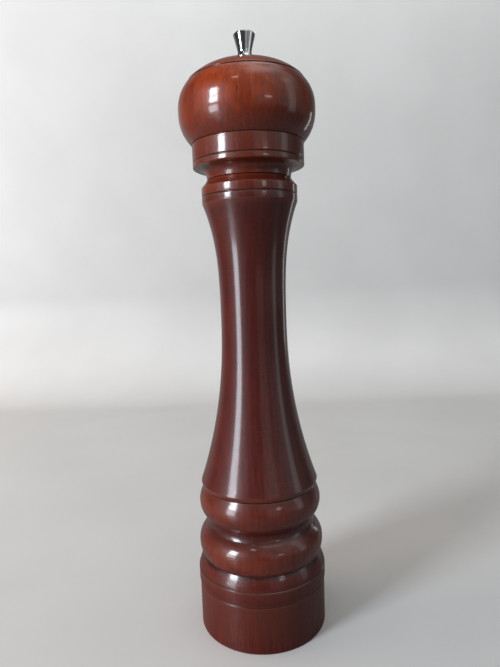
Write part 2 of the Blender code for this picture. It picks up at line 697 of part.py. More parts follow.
def make_shaft():
    """A square bar whose top end is turned down round and threaded for the knob."""
    bar = square_bar_mesh("drive_shaft", SHAFT_SIDE, SHAFT_SHOULDER_Z - SHAFT_Z)
    shaft = add_object("drive_shaft", bar, ALUMINIUM, SHAFT_Z)
    stem = cylinder_mesh("shaft_stem", THREAD_RADIUS, THREAD_LENGTH + OVERRUN, METAL_STEPS)
    join = shaft.modifiers.new("stem", "BOOLEAN")
    join.operation = "UNION"
    join.solver = "EXACT"
    join.object = add_cutter("shaft_stem", stem, (0.0, 0.0, SHAFT_SHOULDER_Z - OVERRUN))
    return shaft


def make_knob():
    """The chromed nut: a cone that widens upwards, with a blind threaded hole."""
    waist = (KNOB_WAIST_RADIUS, KNOB_Z + KNOB_WAIST_RISE)
    rim = (KNOB_TOP_RADIUS, KNOB_TOP_Z - KNOB_EDGE)
    hole_top = SHAFT_TOP_Z + THREAD_SPARE
    profile = (
        [(0.0, KNOB_TOP_Z), (KNOB_TOP_RADIUS - KNOB_EDGE, KNOB_TOP_Z)]
        + flare(waist, rim, KNOB_POWER, KNOB_POINTS)[::-1]
        + [(KNOB_FOOT_RADIUS, KNOB_Z + KNOB_FOOT_RISE)]
        + [(KNOB_FOOT_RADIUS, KNOB_Z + KNOB_FOOT_EDGE)]
        + [(KNOB_FOOT_RADIUS - KNOB_FOOT_EDGE, KNOB_Z)]
        + [(NUT_BORE, KNOB_Z), (NUT_BORE, hole_top), (0.0, hole_top)]
    )
    return turned("adjusting_knob", profile, METAL_STEPS, CHROME)


# ---- Assembly -------------------------------------------------------------------------
def axis_empty(name, parent, z):
    """An empty on the mill's axis that carries one moving group."""
    empty = bpy.data.objects.new(name, None)
    mill.objects.link(empty)
    carry(empty, parent)
    empty.location = (0.0, 0.0, z)
    return empty


def carry(piece, parent):
    """Parents a piece without moving it: every group's empty stays unturned."""
    piece.parent = parent
    if parent is not None:
        shift = parent.location.copy()
        above = parent.parent
        while above is not None:
            shift += above.location
            above = above.parent
        piece.location = piece.location - shift


def build():
    make_body()
    make_stator()
    make_bridge()
    make_retainer()
    make_screws("retainer_screw", RETAINER_SCREW_CIRCLE, RETAINER_SCREW_Z)

    turning = axis_empty("head_turn_axis", None, 0.0)
    seat = square_hole_washer("spring_seat", SEAT_RADIUS, SEAT_THICKNESS, SPRING_SEAT_Z, STEEL)
    for piece in (seat, make_spring()):
        carry(piece, turning)

    grinding = axis_empty("grind_adjust_axis", turning, 0.0)
    washer = square_hole_washer(
        "rotor_washer", SEAT_RADIUS, ROTOR_WASHER_THICKNESS, ROTOR_WASHER_Z, STEEL
    )
    clip = square_hole_washer("shaft_clip", CLIP_RADIUS, CLIP_THICKNESS, CLIP_Z, STEEL)
    for piece in (make_shaft(), make_rotor(), washer, clip):
        carry(piece, grinding)

    lifting = axis_empty("head_lift_axis", turning, 0.0)
    head_pieces = [make_head(), make_drive_plate()]
    head_pieces += make_screws("plate_screw", PLATE_SCREW_CIRCLE, PLATE_SCREW_Z)
    for piece in head_pieces:
        carry(piece, lifting)

    unscrewing = axis_empty("knob_lift_axis", lifting, 0.0)
    carry(make_knob_washer(), unscrewing)
    knob_turning = axis_empty("knob_turn_axis", unscrewing, 0.0)
    carry(make_knob(), knob_turning)


clear_scene()
mill = new_collection("pepper_mill")
cutters = new_collection("cutters")
build()
bpy.context.view_layer.update()
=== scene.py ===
"""A tall turned wooden pepper mill with a chromed adjusting nut, standing on a pale surface."""

import bpy
import numpy as np
from mathutils import Matrix, Vector


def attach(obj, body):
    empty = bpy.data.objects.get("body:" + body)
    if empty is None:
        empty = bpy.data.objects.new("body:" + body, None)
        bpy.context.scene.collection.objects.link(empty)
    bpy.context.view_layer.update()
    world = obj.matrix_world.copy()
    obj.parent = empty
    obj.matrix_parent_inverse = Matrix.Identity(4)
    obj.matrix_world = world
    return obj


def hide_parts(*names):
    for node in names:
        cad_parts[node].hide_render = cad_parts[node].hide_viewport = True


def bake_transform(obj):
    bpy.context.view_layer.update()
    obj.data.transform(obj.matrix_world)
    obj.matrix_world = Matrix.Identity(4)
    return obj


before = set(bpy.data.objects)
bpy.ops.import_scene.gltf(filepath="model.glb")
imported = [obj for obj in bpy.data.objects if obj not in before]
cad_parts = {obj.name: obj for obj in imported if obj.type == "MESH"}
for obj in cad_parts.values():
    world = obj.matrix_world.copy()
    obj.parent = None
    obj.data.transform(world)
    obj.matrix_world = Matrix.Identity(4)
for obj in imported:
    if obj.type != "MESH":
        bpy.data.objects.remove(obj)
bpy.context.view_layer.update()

MM = 0.001


# ---- The wooden body ------------------------------------------------------------------
# One blank of close-grained hardwood, drilled through and turned on the lathe, stained
# red-brown and lacquered outside. The bore, the pocket and the recess are left bare.
BASE_RADIUS = 33.5
BAND_RADIUS = 33.9
BAND_Z = 24.3
SHOULDER_Z = 32.2
SHOULDER_TOP = (31.0, 38.7)
SHOULDER_POWER = 1.35
LOWER_BEAD = (32.87, 46.1)
LOWER_BEAD_POWERS = (2.2, 2.3)
COVE_EDGE = (29.2, 53.9)
COVE_RADIUS = 27.6
UPPER_BEAD_Z = 59.5
UPPER_BEAD = (32.03, 68.3)
UPPER_BEAD_POWERS = (2.3, 1.6)
COLUMN_Z = 75.9
COLUMN_FOOT = (30.7, 78.3)
COLUMN_LINE_DEPTH = 1.65
WAIST = (16.9, 162.9)
WAIST_POWERS = (2.17, 3.2)
NECK_RADIUS = 24.0
NECK_Z = 221.0
UPPER_RING_Z = 224.8
LIP_Z = 229.4
BODY_TOP_Z = 232.6
LIP_RADIUS = 21.4
LINE_DEPTH = 0.55
LINE_HALF = 0.35
CHAMBER_RADIUS = 12.0
POCKET_RADIUS = 16.3
POCKET_TOP_Z = 31.8
RECESS_RADIUS = 22.0
RECESS_TOP_Z = 10.0
BORE_CHAMFER = 0.4
WOOD_COLUMNS = 192
WOOD_EASE = 0.25
CREST_SPREAD = 6.0
HELD_CRESTS, HELD_NECK, HELD_FOOT, HELD_COLLAR = 0.30, 0.32, 0.04, 0.32
RINGS_PER_METRE = 330.0
PITH_PLACE = (0.062, 0.047, 0.0)
PITH_LEAN = (0.05, -0.03, 0.0)


def swell(low, peak, high, powers, count):
    """A rounded form from low through its widest place to high, as (radius, height) rows.

    At the share u of the way from the peak to an end, the radius has lost u to the given
    power of what it loses there. u is the cosine of evenly spaced angles.
    """
    share = np.cos(np.linspace(0, np.pi / 2, count))[:, None]
    peak = np.array(peak)
    ends = [np.array(low), np.array(high)]
    sides = []
    for end, power in zip(ends, powers):
        exponent = np.array([power, 1.0])
        sides.append(peak + (end - peak) * share ** exponent)
    return np.concatenate([sides[0][:-1], sides[1][::-1]])


def flare(waist, end, power, count):
    """Rows from a waist to one end of a hollow curve: the height goes evenly, and the radius
    rises as the given power of the share of the height."""
    share = np.linspace(0, 1, count)[:, None]
    waist = np.array(waist)
    return waist + (np.array(end) - waist) * share ** np.array([power, 1.0])


def turned_line(radius, height):
    """The three rows of a V line cut into a surface of that radius."""
    return np.array([
        (radius, height - LINE_HALF), (radius - LINE_DEPTH, height), (radius, height + LINE_HALF),
    ])


def eased(profile, reach, closed=True, steps=5, least_turn=14.0):
    """The profile with each corner sharper than least_turn degrees rounded.

    A corner C with P and Q beside it, each at most `reach` along its sides, becomes the
    parabola (1 - s)^2 P + 2 s (1 - s) C + s^2 Q.
    """
    count = len(profile)
    back = np.roll(profile, 1, 0) - profile
    on = np.roll(profile, -1, 0) - profile
    back_long = np.linalg.norm(back, axis=1, keepdims=True)
    on_long = np.linalg.norm(on, axis=1, keepdims=True)
    cosine = -(back * on).sum(1) / (back_long * on_long)[:, 0]
    sharp = np.degrees(np.arccos(np.clip(cosine, -1, 1))) > least_turn
    if not closed:
        sharp[[0, -1]] = False
    cut = np.minimum(reach, 0.45 * np.minimum(back_long, on_long))
    start = profile + back / back_long * cut
    stop = profile + on / on_long * cut
    s = np.linspace(0, 1, steps)[:, None, None]
    arcs = (1 - s) ** 2 * start + 2 * s * (1 - s) * profile + s ** 2 * stop
    index = np.arange(count)
    order = index + np.linspace(-0.4, 0.4, steps)[:, None]
    rows = np.concatenate([profile[~sharp], arcs[:, sharp].reshape(-1, 2)])
    place = np.concatenate([index[~sharp], order[:, sharp].reshape(-1)])
    return rows[np.argsort(place)]


def kept_close(profile, margin=0.9):
    """A closed profile with one more row `margin` inside each end of its long steps, so that
    what happens at a corner stays near it."""
    step = np.roll(profile, -1, 0) - profile
    length = np.linalg.norm(step, axis=1, keepdims=True)
    long = length[:, 0] > 2.4 * margin
    near, far = profile + step / length * margin, profile + step - step / length * margin
    index = np.arange(len(profile))
    place = np.concatenate([index, index[long] + 0.3, index[long] + 0.6])
    return np.concatenate([profile, near[long], far[long]])[np.argsort(place)]


def edges_and_lines(profile, edge_spread=0.3, line_spread=0.6):
    """Two masks along a closed profile: how near a row is to an outer edge, and to the bottom
    of a turned line. The turn of the profile per millimetre, positive on an outer edge, is
    carried the spread in millimetres along it with a bell-shaped fall-off. The wood's colour
    takes a painted highlight from the first mask and painted shade from the second."""
    step = np.roll(profile, -1, 0) - profile
    length = np.linalg.norm(step, axis=1)
    heading = np.arctan2(step[:, 1], step[:, 0])
    turn = (heading - np.roll(heading, 1) + np.pi) % (2 * np.pi) - np.pi
    bend = turn / np.maximum(0.5 * (length + np.roll(length, 1)), 0.05)
    along = np.cumsum(length)
    apart = along[:, None] - along
    edge = (np.exp(-((apart / edge_spread) ** 2)) * np.clip(bend, 0, 1)).max(1)
    line = (np.exp(-((apart / line_spread) ** 2)) * np.clip(-bend, 0, 1)).max(1)
    return edge, line


def placed(name, data):
    """A new object in the scene that holds the data."""
    thing = bpy.data.objects.new(name, data)
    bpy.context.scene.collection.objects.link(thing)
    return thing


def skin(name, rows, closed, material, masks=None):
    """Joins a grid of points, rows by columns by xyz in millimetres, into one smooth mesh.

    Each row is a loop round the axis, anticlockwise from above, and the rows go up the
    outside. A closed skin's last row meets its first. On an open one the first and last
    rows have shrunk to a point each, and become one vertex with triangles round it.
    A mask has one value for each row, or one for each point.
    """
    count, columns = rows.shape[:2]
    inner = rows if closed else rows[1:-1]
    base = np.arange(inner.shape[0] * columns).reshape(-1, columns)
    low = base if closed else base[:-1]
    high = np.roll(base, -1, 0) if closed else base[1:]
    quads = np.stack([low, np.roll(low, -1, 1), np.roll(high, -1, 1), high], -1).reshape(-1, 4)
    points = inner.reshape(-1, 3)
    faces = quads.tolist()
    if not closed:
        foot, top = len(points), len(points) + 1
        points = np.concatenate([points, rows[:1, 0], rows[-1:, 0]])
        first, last = base[0], base[-1]
        faces += np.stack([np.full(columns, foot), np.roll(first, -1), first], -1).tolist()
        faces += np.stack([np.full(columns, top), last, np.roll(last, -1)], -1).tolist()
    mesh = bpy.data.meshes.new(name)
    mesh.from_pydata((points * MM).tolist(), [], faces)
    mesh.polygons.foreach_set("use_smooth", np.ones(len(faces), bool))
    for mask, values in (masks or {}).items():
        each = np.broadcast_to(np.reshape(values, (count, -1)), (count, columns))
        if not closed:
            each = np.concatenate([each[1:-1].ravel(), each[[0, -1], 0]])
        layer = mesh.attributes.new(mask, "FLOAT", "POINT")
        layer.data.foreach_set("value", each.ravel().astype(np.float32))
    mesh.materials.append(material)
    return placed(name, mesh)


def unit_circle(count):
    """Points evenly round a circle of radius one, anticlockwise from +X."""
    angle = 2 * np.pi * np.arange(count) / count
    return np.stack([np.cos(angle), np.sin(angle)], -1)


def ring_points(radii, heights):
    """Rows of points round the axis: the one in row i and column j is
    (r_ij cos a_j, r_ij sin a_j, z_i), where a_j goes evenly round one turn. The heights
    can also differ within a row."""
    flat = radii[..., None] * unit_circle(radii.shape[1])
    tall = np.broadcast_to(heights.reshape(len(radii), -1), radii.shape)
    return np.concatenate([flat, tall[..., None]], -1)


def spun(profile, columns):
    """The points of a turned surface, from its profile's rows of (radius, height)."""
    return ring_points(np.repeat(profile[:, :1], columns, 1), profile[:, 1])


def body_side():
    """The lacquered outside of the body, from the resting face up to the lip."""
    rise = np.linspace(0, 1, 12)[:, None]
    shoulder_low = np.array([BASE_RADIUS, SHOULDER_Z + LINE_HALF])
    shoulder = shoulder_low + (np.array(SHOULDER_TOP) - shoulder_low) * rise ** np.array(
        [SHOULDER_POWER, 1.0]
    )
    cove_low = np.array([COVE_EDGE[0] - LINE_DEPTH, COVE_EDGE[1] + LINE_HALF])
    hollow = (cove_low[0] - COVE_RADIUS) * (2 * rise - 1) ** 2 + COVE_RADIUS
    cove = np.concatenate([hollow, cove_low[1] + (UPPER_BEAD_Z - cove_low[1]) * rise], 1)
    foot_radius = COLUMN_FOOT[0]
    upper_end = (foot_radius - COLUMN_LINE_DEPTH * 2 / 3, COLUMN_Z - LINE_HALF)
    column_top = (NECK_RADIUS - LINE_DEPTH / 4, NECK_Z)
    chamfer = LIP_RADIUS + (NECK_RADIUS - LIP_RADIUS) / 3
    return np.concatenate([
        [(BASE_RADIUS - LINE_HALF, 0.0), (BASE_RADIUS, LINE_HALF)],
        turned_line(BASE_RADIUS, BAND_Z),
        [(BAND_RADIUS, BAND_Z + 2 * LINE_HALF)],
        turned_line(BAND_RADIUS, SHOULDER_Z)[:2],
        shoulder,
        swell(SHOULDER_TOP, LOWER_BEAD, COVE_EDGE, LOWER_BEAD_POWERS, 16)[1:],
        cove,
        swell(cove[-1], UPPER_BEAD, upper_end, UPPER_BEAD_POWERS, 16)[1:],
        [(foot_radius - COLUMN_LINE_DEPTH, COLUMN_Z)],
        [(foot_radius - COLUMN_LINE_DEPTH / 3, COLUMN_Z + LINE_HALF)],
        flare(WAIST, COLUMN_FOOT, WAIST_POWERS[0], 44)[::-1],
        flare(WAIST, column_top, WAIST_POWERS[1], 34)[1:],
        [(NECK_RADIUS, NECK_Z + LINE_HALF)],
        turned_line(NECK_RADIUS, UPPER_RING_Z),
        [(NECK_RADIUS, LIP_Z - LINE_HALF), (chamfer, (LIP_Z + BODY_TOP_Z) / 2)],
        [(LIP_RADIUS, BODY_TOP_Z - LINE_HALF), (LIP_RADIUS - LINE_HALF, BODY_TOP_Z)],
    ])


def body_inside():
    """The bare inside, from the top of the bore down to the resting face."""
    return np.array([
        (CHAMBER_RADIUS + BORE_CHAMFER, BODY_TOP_Z),
        (CHAMBER_RADIUS, BODY_TOP_Z - BORE_CHAMFER),
        (CHAMBER_RADIUS, POCKET_TOP_Z),
        (POCKET_RADIUS, POCKET_TOP_Z),
        (POCKET_RADIUS, RECESS_TOP_Z),
        (RECESS_RADIUS, RECESS_TOP_Z),
        (RECESS_RADIUS, BORE_CHAMFER),
        (RECESS_RADIUS + BORE_CHAMFER, 0.0),
    ])


def node(tree, kind, values=None, **settings):
    """One shader node. Each of its values is a number, a colour or another node's socket."""
    new = tree.nodes.new("ShaderNode" + kind)
    for key, value in settings.items():
        setattr(new, key, value)
    for key, value in (values or {}).items():
        if isinstance(value, bpy.types.NodeSocket):
            tree.links.new(value, new.inputs[key])
        else:
            new.inputs[key].default_value = value
    return new


def maths(tree, operation, *values):
    return node(tree, "Math", dict(enumerate(values)), operation=operation).outputs[0]


def times(tree, first, second):
    return maths(tree, "MULTIPLY", first, second)


def plus(tree, first, second):
    return maths(tree, "ADD", first, second)


def mixed(tree, share, first, second, blend_type="MIX"):
    """The first colour, with a share of the second over it."""
    settings = {"data_type": "RGBA", "blend_type": blend_type}
    return node(tree, "Mix", {0: share, 6: first, 7: second}, **settings).outputs[2]


def spread_over(tree, value, low, high, to_low=0.0, to_high=1.0):
    """The value carried smoothly from one span to another, and held at its ends."""
    limits = {0: value, 1: low, 2: high, 3: to_low, 4: to_high}
    return node(tree, "MapRange", limits, interpolation_type="SMOOTHSTEP").outputs[0]


def scaled(tree, vector, scale):
    return node(tree, "Mapping", {"Vector": vector, "Scale": scale}).outputs[0]


def noise(tree, vector, scale, detail=2.0, roughness=0.5, output="Fac"):
    values = {"Vector": vector, "Scale": scale, "Detail": detail, "Roughness": roughness}
    return node(tree, "TexNoise", values).outputs[output]


def rgb(red, green, blue):
    return (red, green, blue, 1.0)


def new_group(name, inputs, outputs):
    """An empty shader node group: its tree, its input node and its output node."""
    tree = bpy.data.node_groups.new(name, "ShaderNodeTree")
    for way, sockets in (("INPUT", inputs), ("OUTPUT", outputs)):
        for socket, kind in sockets.items():
            tree.interface.new_socket(name=socket, in_out=way, socket_type="NodeSocket" + kind)
    return tree, tree.nodes.new("NodeGroupInput").outputs, tree.nodes.new("NodeGroupOutput").inputs


def use_group(tree, group, values):
    return node(tree, "Group", values, node_tree=group).outputs


def new_material(name, **constants):
    """A material, its node tree, its Principled shader and the shaded point's place."""
    material = bpy.data.materials.new(name)
    material.use_nodes = True
    tree = material.node_tree
    shader = tree.nodes["Principled BSDF"]
    for socket, value in constants.items():
        shader.inputs[socket.replace("_", " ")].default_value = value
    return material, tree, shader, node(tree, "TexCoord").outputs["Object"]


def attribute(tree, name):
    return node(tree, "Attribute", attribute_name=name).outputs["Fac"]


def dress(tree, shader, color, rough, strength, depth, relief):
    """Feeds the shader a colour, a roughness and a bump whose relief is that many metres deep."""
    bump = node(tree, "Bump", {"Strength": strength, "Distance": depth, "Height": relief})
    fed = {"Base Color": color, "Roughness": rough, "Normal": bump.outputs[0]}
    for socket, value in fed.items():
        tree.links.new(value, shader.inputs[socket])


def make_grain_group():
    """Turned hardwood. The rings are the distance from a pith beside the mill, bent by slow
    noise. Streaks and pores are noise drawn out along the height, so they show as lines on
    the sides and as dots on the end grain."""
    kinds = {"Light": "Color", "Middle": "Color", "Dark": "Color", "Pores": "Float"}
    tree, given, out = new_group(
        "turned_grain", {"Vector": "Vector", **kinds}, {"Color": "Color", "Height": "Float"},
    )
    slow = noise(tree, scaled(tree, given["Vector"], (1.0, 1.0, 0.15)), 24.0, output="Color")
    shift = node(tree, "VectorMath", {0: slow, 1: (0.009, 0.009, 0.0)}, operation="MULTIPLY")
    bent = node(tree, "VectorMath", {0: given["Vector"], 1: shift.outputs[0]}, operation="ADD")
    bent = bent.outputs[0]
    beside = {"Vector": bent, "Location": PITH_PLACE, "Rotation": PITH_LEAN}
    flat = scaled(tree, node(tree, "Mapping", beside).outputs[0], (1.0, 1.0, 0.0))
    away = node(tree, "VectorMath", {0: flat}, operation="LENGTH").outputs["Value"]
    ring = maths(tree, "FRACT", times(tree, away, RINGS_PER_METRE))
    late = times(tree, maths(tree, "POWER", ring, 2.0), spread_over(tree, ring, 1.0, 0.86))
    streak = noise(tree, scaled(tree, bent, (1.0, 1.0, 0.045)), 620.0, 3.0, 0.6)
    tone = spread_over(tree, streak, 0.12, 0.88)
    patch = spread_over(tree, noise(tree, given["Vector"], 31.0), 0.35, 0.65)
    pore = noise(tree, scaled(tree, given["Vector"], (1.0, 1.0, 0.07)), 2600.0, 1.0)
    thick = spread_over(tree, noise(tree, bent, 75.0, 1.0), 0.3, 0.7, 0.02, -0.02)
    mark = spread_over(tree, plus(tree, pore, thick), 0.60, 0.70)
    color = mixed(tree, tone, given["Middle"], given["Light"])
    color = mixed(tree, times(tree, patch, 0.5), color, given["Middle"])
    color = mixed(tree, times(tree, late, 0.3), color, given["Dark"])
    strength = times(tree, mark, given["Pores"])
    deep = mixed(tree, 1.0, given["Dark"], rgb(0.35, 0.35, 0.35), "MULTIPLY")
    tree.links.new(mixed(tree, strength, color, deep), out["Color"])
    tree.links.new(maths(tree, "SUBTRACT", times(tree, tone, 0.25), strength), out["Height"])
    return tree


def make_wood():
    """Stained and lacquered outside, bare and dusty with ground pepper inside. Where hands hold
    it the stain has rubbed to a lighter orange. The satin part, round the foot, has a thinner
    film and shows the rings that the turning tool left."""
    material, tree, shader, point = new_material(
        "lacquered_wood", Coat_Roughness=0.13, Coat_IOR=1.5, IOR=1.45, Specular_IOR_Level=0.4,
    )
    bare, edge = attribute(tree, "bare"), attribute(tree, "edge")
    line, satin = attribute(tree, "line"), attribute(tree, "satin")
    cloud = noise(tree, point, 38.0, 3.0, 0.6)
    uneven = spread_over(tree, cloud, 0.3, 0.65, 0.55, 1.15)
    held = times(tree, attribute(tree, "held"), uneven)
    stained = use_group(tree, grain, {
        "Vector": point,
        "Light": mixed(tree, held, rgb(0.150, 0.0150, 0.0075), rgb(0.51, 0.066, 0.006)),
        "Middle": mixed(tree, held, rgb(0.070, 0.0072, 0.0055), rgb(0.25, 0.029, 0.004)),
        "Dark": mixed(tree, held, rgb(0.026, 0.0034, 0.003), rgb(0.08, 0.010, 0.003)),
        "Pores": 0.65,
    })
    raw = use_group(tree, grain, {
        "Vector": point, "Light": rgb(0.52, 0.33, 0.19), "Middle": rgb(0.40, 0.23, 0.12),
        "Dark": rgb(0.22, 0.11, 0.055), "Pores": 0.6,
    })
    tool = noise(tree, scaled(tree, point, (0.03, 0.03, 1.0)), 2000.0, 3.0)
    cut = times(tree, spread_over(tree, tool, 0.55, 0.8), 0.25)
    color = mixed(tree, cut, stained["Color"], rgb(0.30, 0.045, 0.012))
    # Painted shade: the bottoms of the turned lines and the coves are darkened almost to black.
    color = mixed(tree, times(tree, line, 0.9), color, rgb(0.012, 0.003, 0.002))
    # Painted highlight: the outer edges of the turned lines and beads are lightened as if they
    # caught the light.
    color = mixed(tree, times(tree, edge, 0.22), color, rgb(0.38, 0.10, 0.05))
    dust = spread_over(tree, noise(tree, point, 900.0, 3.0, 0.7), 0.52, 0.66)
    dusty = mixed(tree, times(tree, dust, 0.6), raw["Color"], rgb(0.10, 0.07, 0.045))
    color = mixed(tree, bare, color, dusty)
    rough = plus(tree, 0.36, times(tree, satin, -0.04))
    rough = plus(tree, rough, times(tree, bare, 0.4))
    smear = noise(tree, scaled(tree, point, (1.0, 1.0, 0.4)), 60.0, 3.0)
    rough = plus(tree, rough, times(tree, smear, 0.08))
    film = spread_over(tree, satin, 0.0, 1.0, 1.0, 0.5)
    film = times(tree, maths(tree, "SUBTRACT", 1.0, bare), film)
    tree.links.new(film, shader.inputs["Coat Weight"])
    ridges = times(tree, tool, spread_over(tree, satin, 0.0, 1.0, 0.25, 3.5))
    ripple = times(tree, noise(tree, point, 230.0), 1.6)
    relief = plus(tree, plus(tree, times(tree, stained["Height"], 1.8), ridges), ripple)
    dress(tree, shader, color, rough, 0.35, 0.00008, relief)
    return material


grain = make_grain_group()
wood = make_wood()

outline = kept_close(eased(np.concatenate([body_side(), body_inside()]), WOOD_EASE))
radius, height = outline.T
edge, line = edges_and_lines(outline)
hollow_radius = np.select(
    [height < RECESS_TOP_Z + 0.1, height < POCKET_TOP_Z + 0.1],
    [RECESS_RADIUS, POCKET_RADIUS], CHAMBER_RADIUS,
)
bare = np.clip((hollow_radius + 1.2 - radius) / 0.6, 0, 1)
satin = np.clip((SHOULDER_TOP[1] - 0.5 - height) / 2.0, 0, 1)
crests = sum(
    np.exp(-(((height - crest) / CREST_SPREAD) ** 2))
    for crest in (LOWER_BEAD[1] - 1, UPPER_BEAD[1])
)
held = HELD_CRESTS * crests + HELD_NECK * (height > UPPER_RING_Z) + HELD_FOOT * (height < BAND_Z)
masks = {"edge": edge, "line": line, "bare": bare, "satin": satin, "held": held}
body = skin("wooden_body", spun(outline, WOOD_COLUMNS), True, wood, masks)
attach(body, "body")
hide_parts("body")


# ---- The outer burr -------------------------------------------------------------------
# A hardened steel ring pushed into the pocket from below. Fine slanting teeth line its
# lower cone, and ten coarse lobes in the funnel above them crack the corns first.
STATOR_RADIUS = 16.0
STATOR_LOW, STATOR_HIGH = 10.0, 30.0
FINE_TOP = 5.4
FINE_DEPTH = 0.7
COARSE_DEPTH = 1.6
STATOR_TIP = (11.75, 10.35)
STATOR_THROAT = 10.65
STATOR_MOUTH = 12.8
STATOR_TEETH = 40
STATOR_LOBES = 10
STATOR_COLUMNS = 480
STATOR_FUNNEL_Z = 17.5
STATOR_LOBE_LEAN = 0.05
STATOR_BLEND = 2.0
FINE_LEAN = 0.22
BURR_EDGE = 0.25


def saw(turns):
    """A tooth for each whole turn: it rises over four fifths of it and drops in the rest."""
    share = turns % 1.0
    return np.minimum(share / 0.8, (1 - share) / 0.2)


def lobe(turns):
    """A rounded lobe for each whole turn, as half a cosine wave."""
    return 0.5 - 0.5 * np.cos(2 * np.pi * turns)


def smooth_share(value, low, high):
    share = np.clip((value - low) / (high - low), 0, 1)
    return share * share * (3 - 2 * share)


def stator_inside(heights):
    """The toothed bore: the tip radius at each height plus the depth of its teeth, which
    change from saw teeth to lobes over the two millimetres above the fine cone."""
    rise = heights[:, None] - STATOR_LOW
    turn = np.arange(STATOR_COLUMNS) / STATOR_COLUMNS
    teeth = saw(turn * STATOR_TEETH + FINE_LEAN * rise)
    fine = np.interp(rise, (0, FINE_TOP), STATOR_TIP) + FINE_DEPTH * teeth
    ends = (FINE_TOP, STATOR_HIGH - STATOR_LOW)
    funnel = np.interp(rise, ends, (STATOR_THROAT, STATOR_MOUTH))
    coarse = funnel + COARSE_DEPTH * lobe(turn * STATOR_LOBES + STATOR_LOBE_LEAN * rise)
    share = smooth_share(rise, FINE_TOP, FINE_TOP + STATOR_BLEND)
    return fine * (1 - share) + coarse * share


def make_burr_steel():
    """Hardened and blackened steel: bright on the tooth tips, pepper dust in between."""
    material, tree, shader, point = new_material("burr_steel", Metallic=1.0)
    edge = attribute(tree, "edge")
    cloud = noise(tree, point, 180.0, 4.0, 0.6)
    shade = spread_over(tree, cloud, 0.35, 0.7)
    color = mixed(tree, shade, rgb(0.16, 0.16, 0.17), rgb(0.26, 0.26, 0.27))
    color = mixed(tree, times(tree, edge, 0.6), color, rgb(0.52, 0.52, 0.53))
    specks = spread_over(tree, noise(tree, point, 1100.0, 3.0, 0.7), 0.53, 0.62)
    dust = times(tree, specks, maths(tree, "SUBTRACT", 1.0, edge))
    color = mixed(tree, dust, color, rgb(0.14, 0.10, 0.065))
    rough = spread_over(tree, cloud, 0.3, 0.7, 0.32, 0.5)
    rough = plus(tree, rough, times(tree, dust, 0.35))
    tree.links.new(maths(tree, "SUBTRACT", 1.0, dust), shader.inputs["Metallic"])
    dress(tree, shader, color, rough, 0.4, 0.0001, plus(tree, cloud, dust))
    return material


burr_steel = make_burr_steel()

going_up = np.array([STATOR_LOW, STATOR_LOW + BURR_EDGE, STATOR_HIGH - BURR_EDGE, STATOR_HIGH])
outer = np.array([-BURR_EDGE, 0, 0, -BURR_EDGE]) + STATOR_RADIUS
outer = np.repeat(outer[:, None], STATOR_COLUMNS, 1)
going_down = np.concatenate([
    np.linspace(STATOR_HIGH, STATOR_FUNNEL_Z, 12),
    np.linspace(STATOR_FUNNEL_Z - 0.2, STATOR_LOW, 22),
])
inner = stator_inside(going_down)
rows = np.concatenate([ring_points(outer, going_up), ring_points(inner, going_down)])
tips = inner < np.quantile(inner, 0.3, axis=1, keepdims=True)
tips = np.concatenate([np.zeros(outer.shape), tips])
stator = skin("outer_burr", rows, True, burr_steel, {"edge": tips})
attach(stator, "body")
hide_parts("stator")


# ---- The bridge and the retainer plate ------------------------------------------------
# Both are stamped from zinc-plated sheet 1.2 mm thick. The three-armed bridge lies on the
# outer burr and guides the shaft. The ring below it is screwed to a ledge in the wood.
SHEET = 1.2
SHEET_EDGE = 0.12
BRIDGE_Z = 30.3
BRIDGE_HUB = 6.4
BRIDGE_RING = 12.8
BRIDGE_ARM_WIDTH = 3.2
SHAFT_BORE = 3.794
RETAINER_Z = 8.5
RETAINER_RADIUS = 21.7
RETAINER_OPENING = 13.1
RETAINER_SCREWS = 19.15
SCREW_HOLE = 1.4
PLATE_POINTS = 120
WELD_REACH = 0.000002


def circle(radius, count=PLATE_POINTS, centre=(0.0, 0.0)):
    return unit_circle(count) * radius + centre


def screw_places(circle_radius):
    """Three centres evenly round a circle, the first at a sixth of a turn from +X."""
    return circle(circle_radius, 6)[1::2]


def window(inner, outer, first, last, count=24):
    """A kidney-shaped opening between two radii and two angles."""
    angle = np.linspace(first, last, count)[:, None]
    around = np.concatenate([np.cos(angle), np.sin(angle)], 1)
    return np.concatenate([around * outer, around[::-1] * inner])


def stamped(name, outlines, thickness, z, material):
    """A flat plate from z up, with its outlines cut out of the first and its edges rounded."""
    curve = bpy.data.curves.new(name, "CURVE")
    curve.dimensions = "2D"
    curve.fill_mode = "BOTH"
    curve.extrude = (thickness / 2 - SHEET_EDGE) * MM
    curve.bevel_depth = SHEET_EDGE * MM
    curve.bevel_resolution = 2
    curve.offset = -SHEET_EDGE * MM
    for outline in outlines:
        spline = curve.splines.new("POLY")
        spline.points.add(len(outline) - 1)
        flat = np.zeros((len(outline), 4))
        flat[:, :2] = outline * MM
        flat[:, 3] = 1.0
        spline.points.foreach_set("co", flat.ravel())
        spline.use_cyclic_u = True
    drawn = placed(name + "_outline", curve)
    bpy.context.view_layer.update()
    evaluated = drawn.evaluated_get(bpy.context.evaluated_depsgraph_get())
    mesh = bpy.data.meshes.new_from_object(evaluated)
    bpy.data.objects.remove(drawn)
    bpy.data.curves.remove(curve)
    mesh.name = name
    mesh.transform(Matrix.Translation((0.0, 0.0, (z + thickness / 2) * MM)))
    mesh.materials.append(material)
    piece = placed(name, mesh)
    piece.modifiers.new("weld", "WELD").merge_threshold = WELD_REACH
    return piece


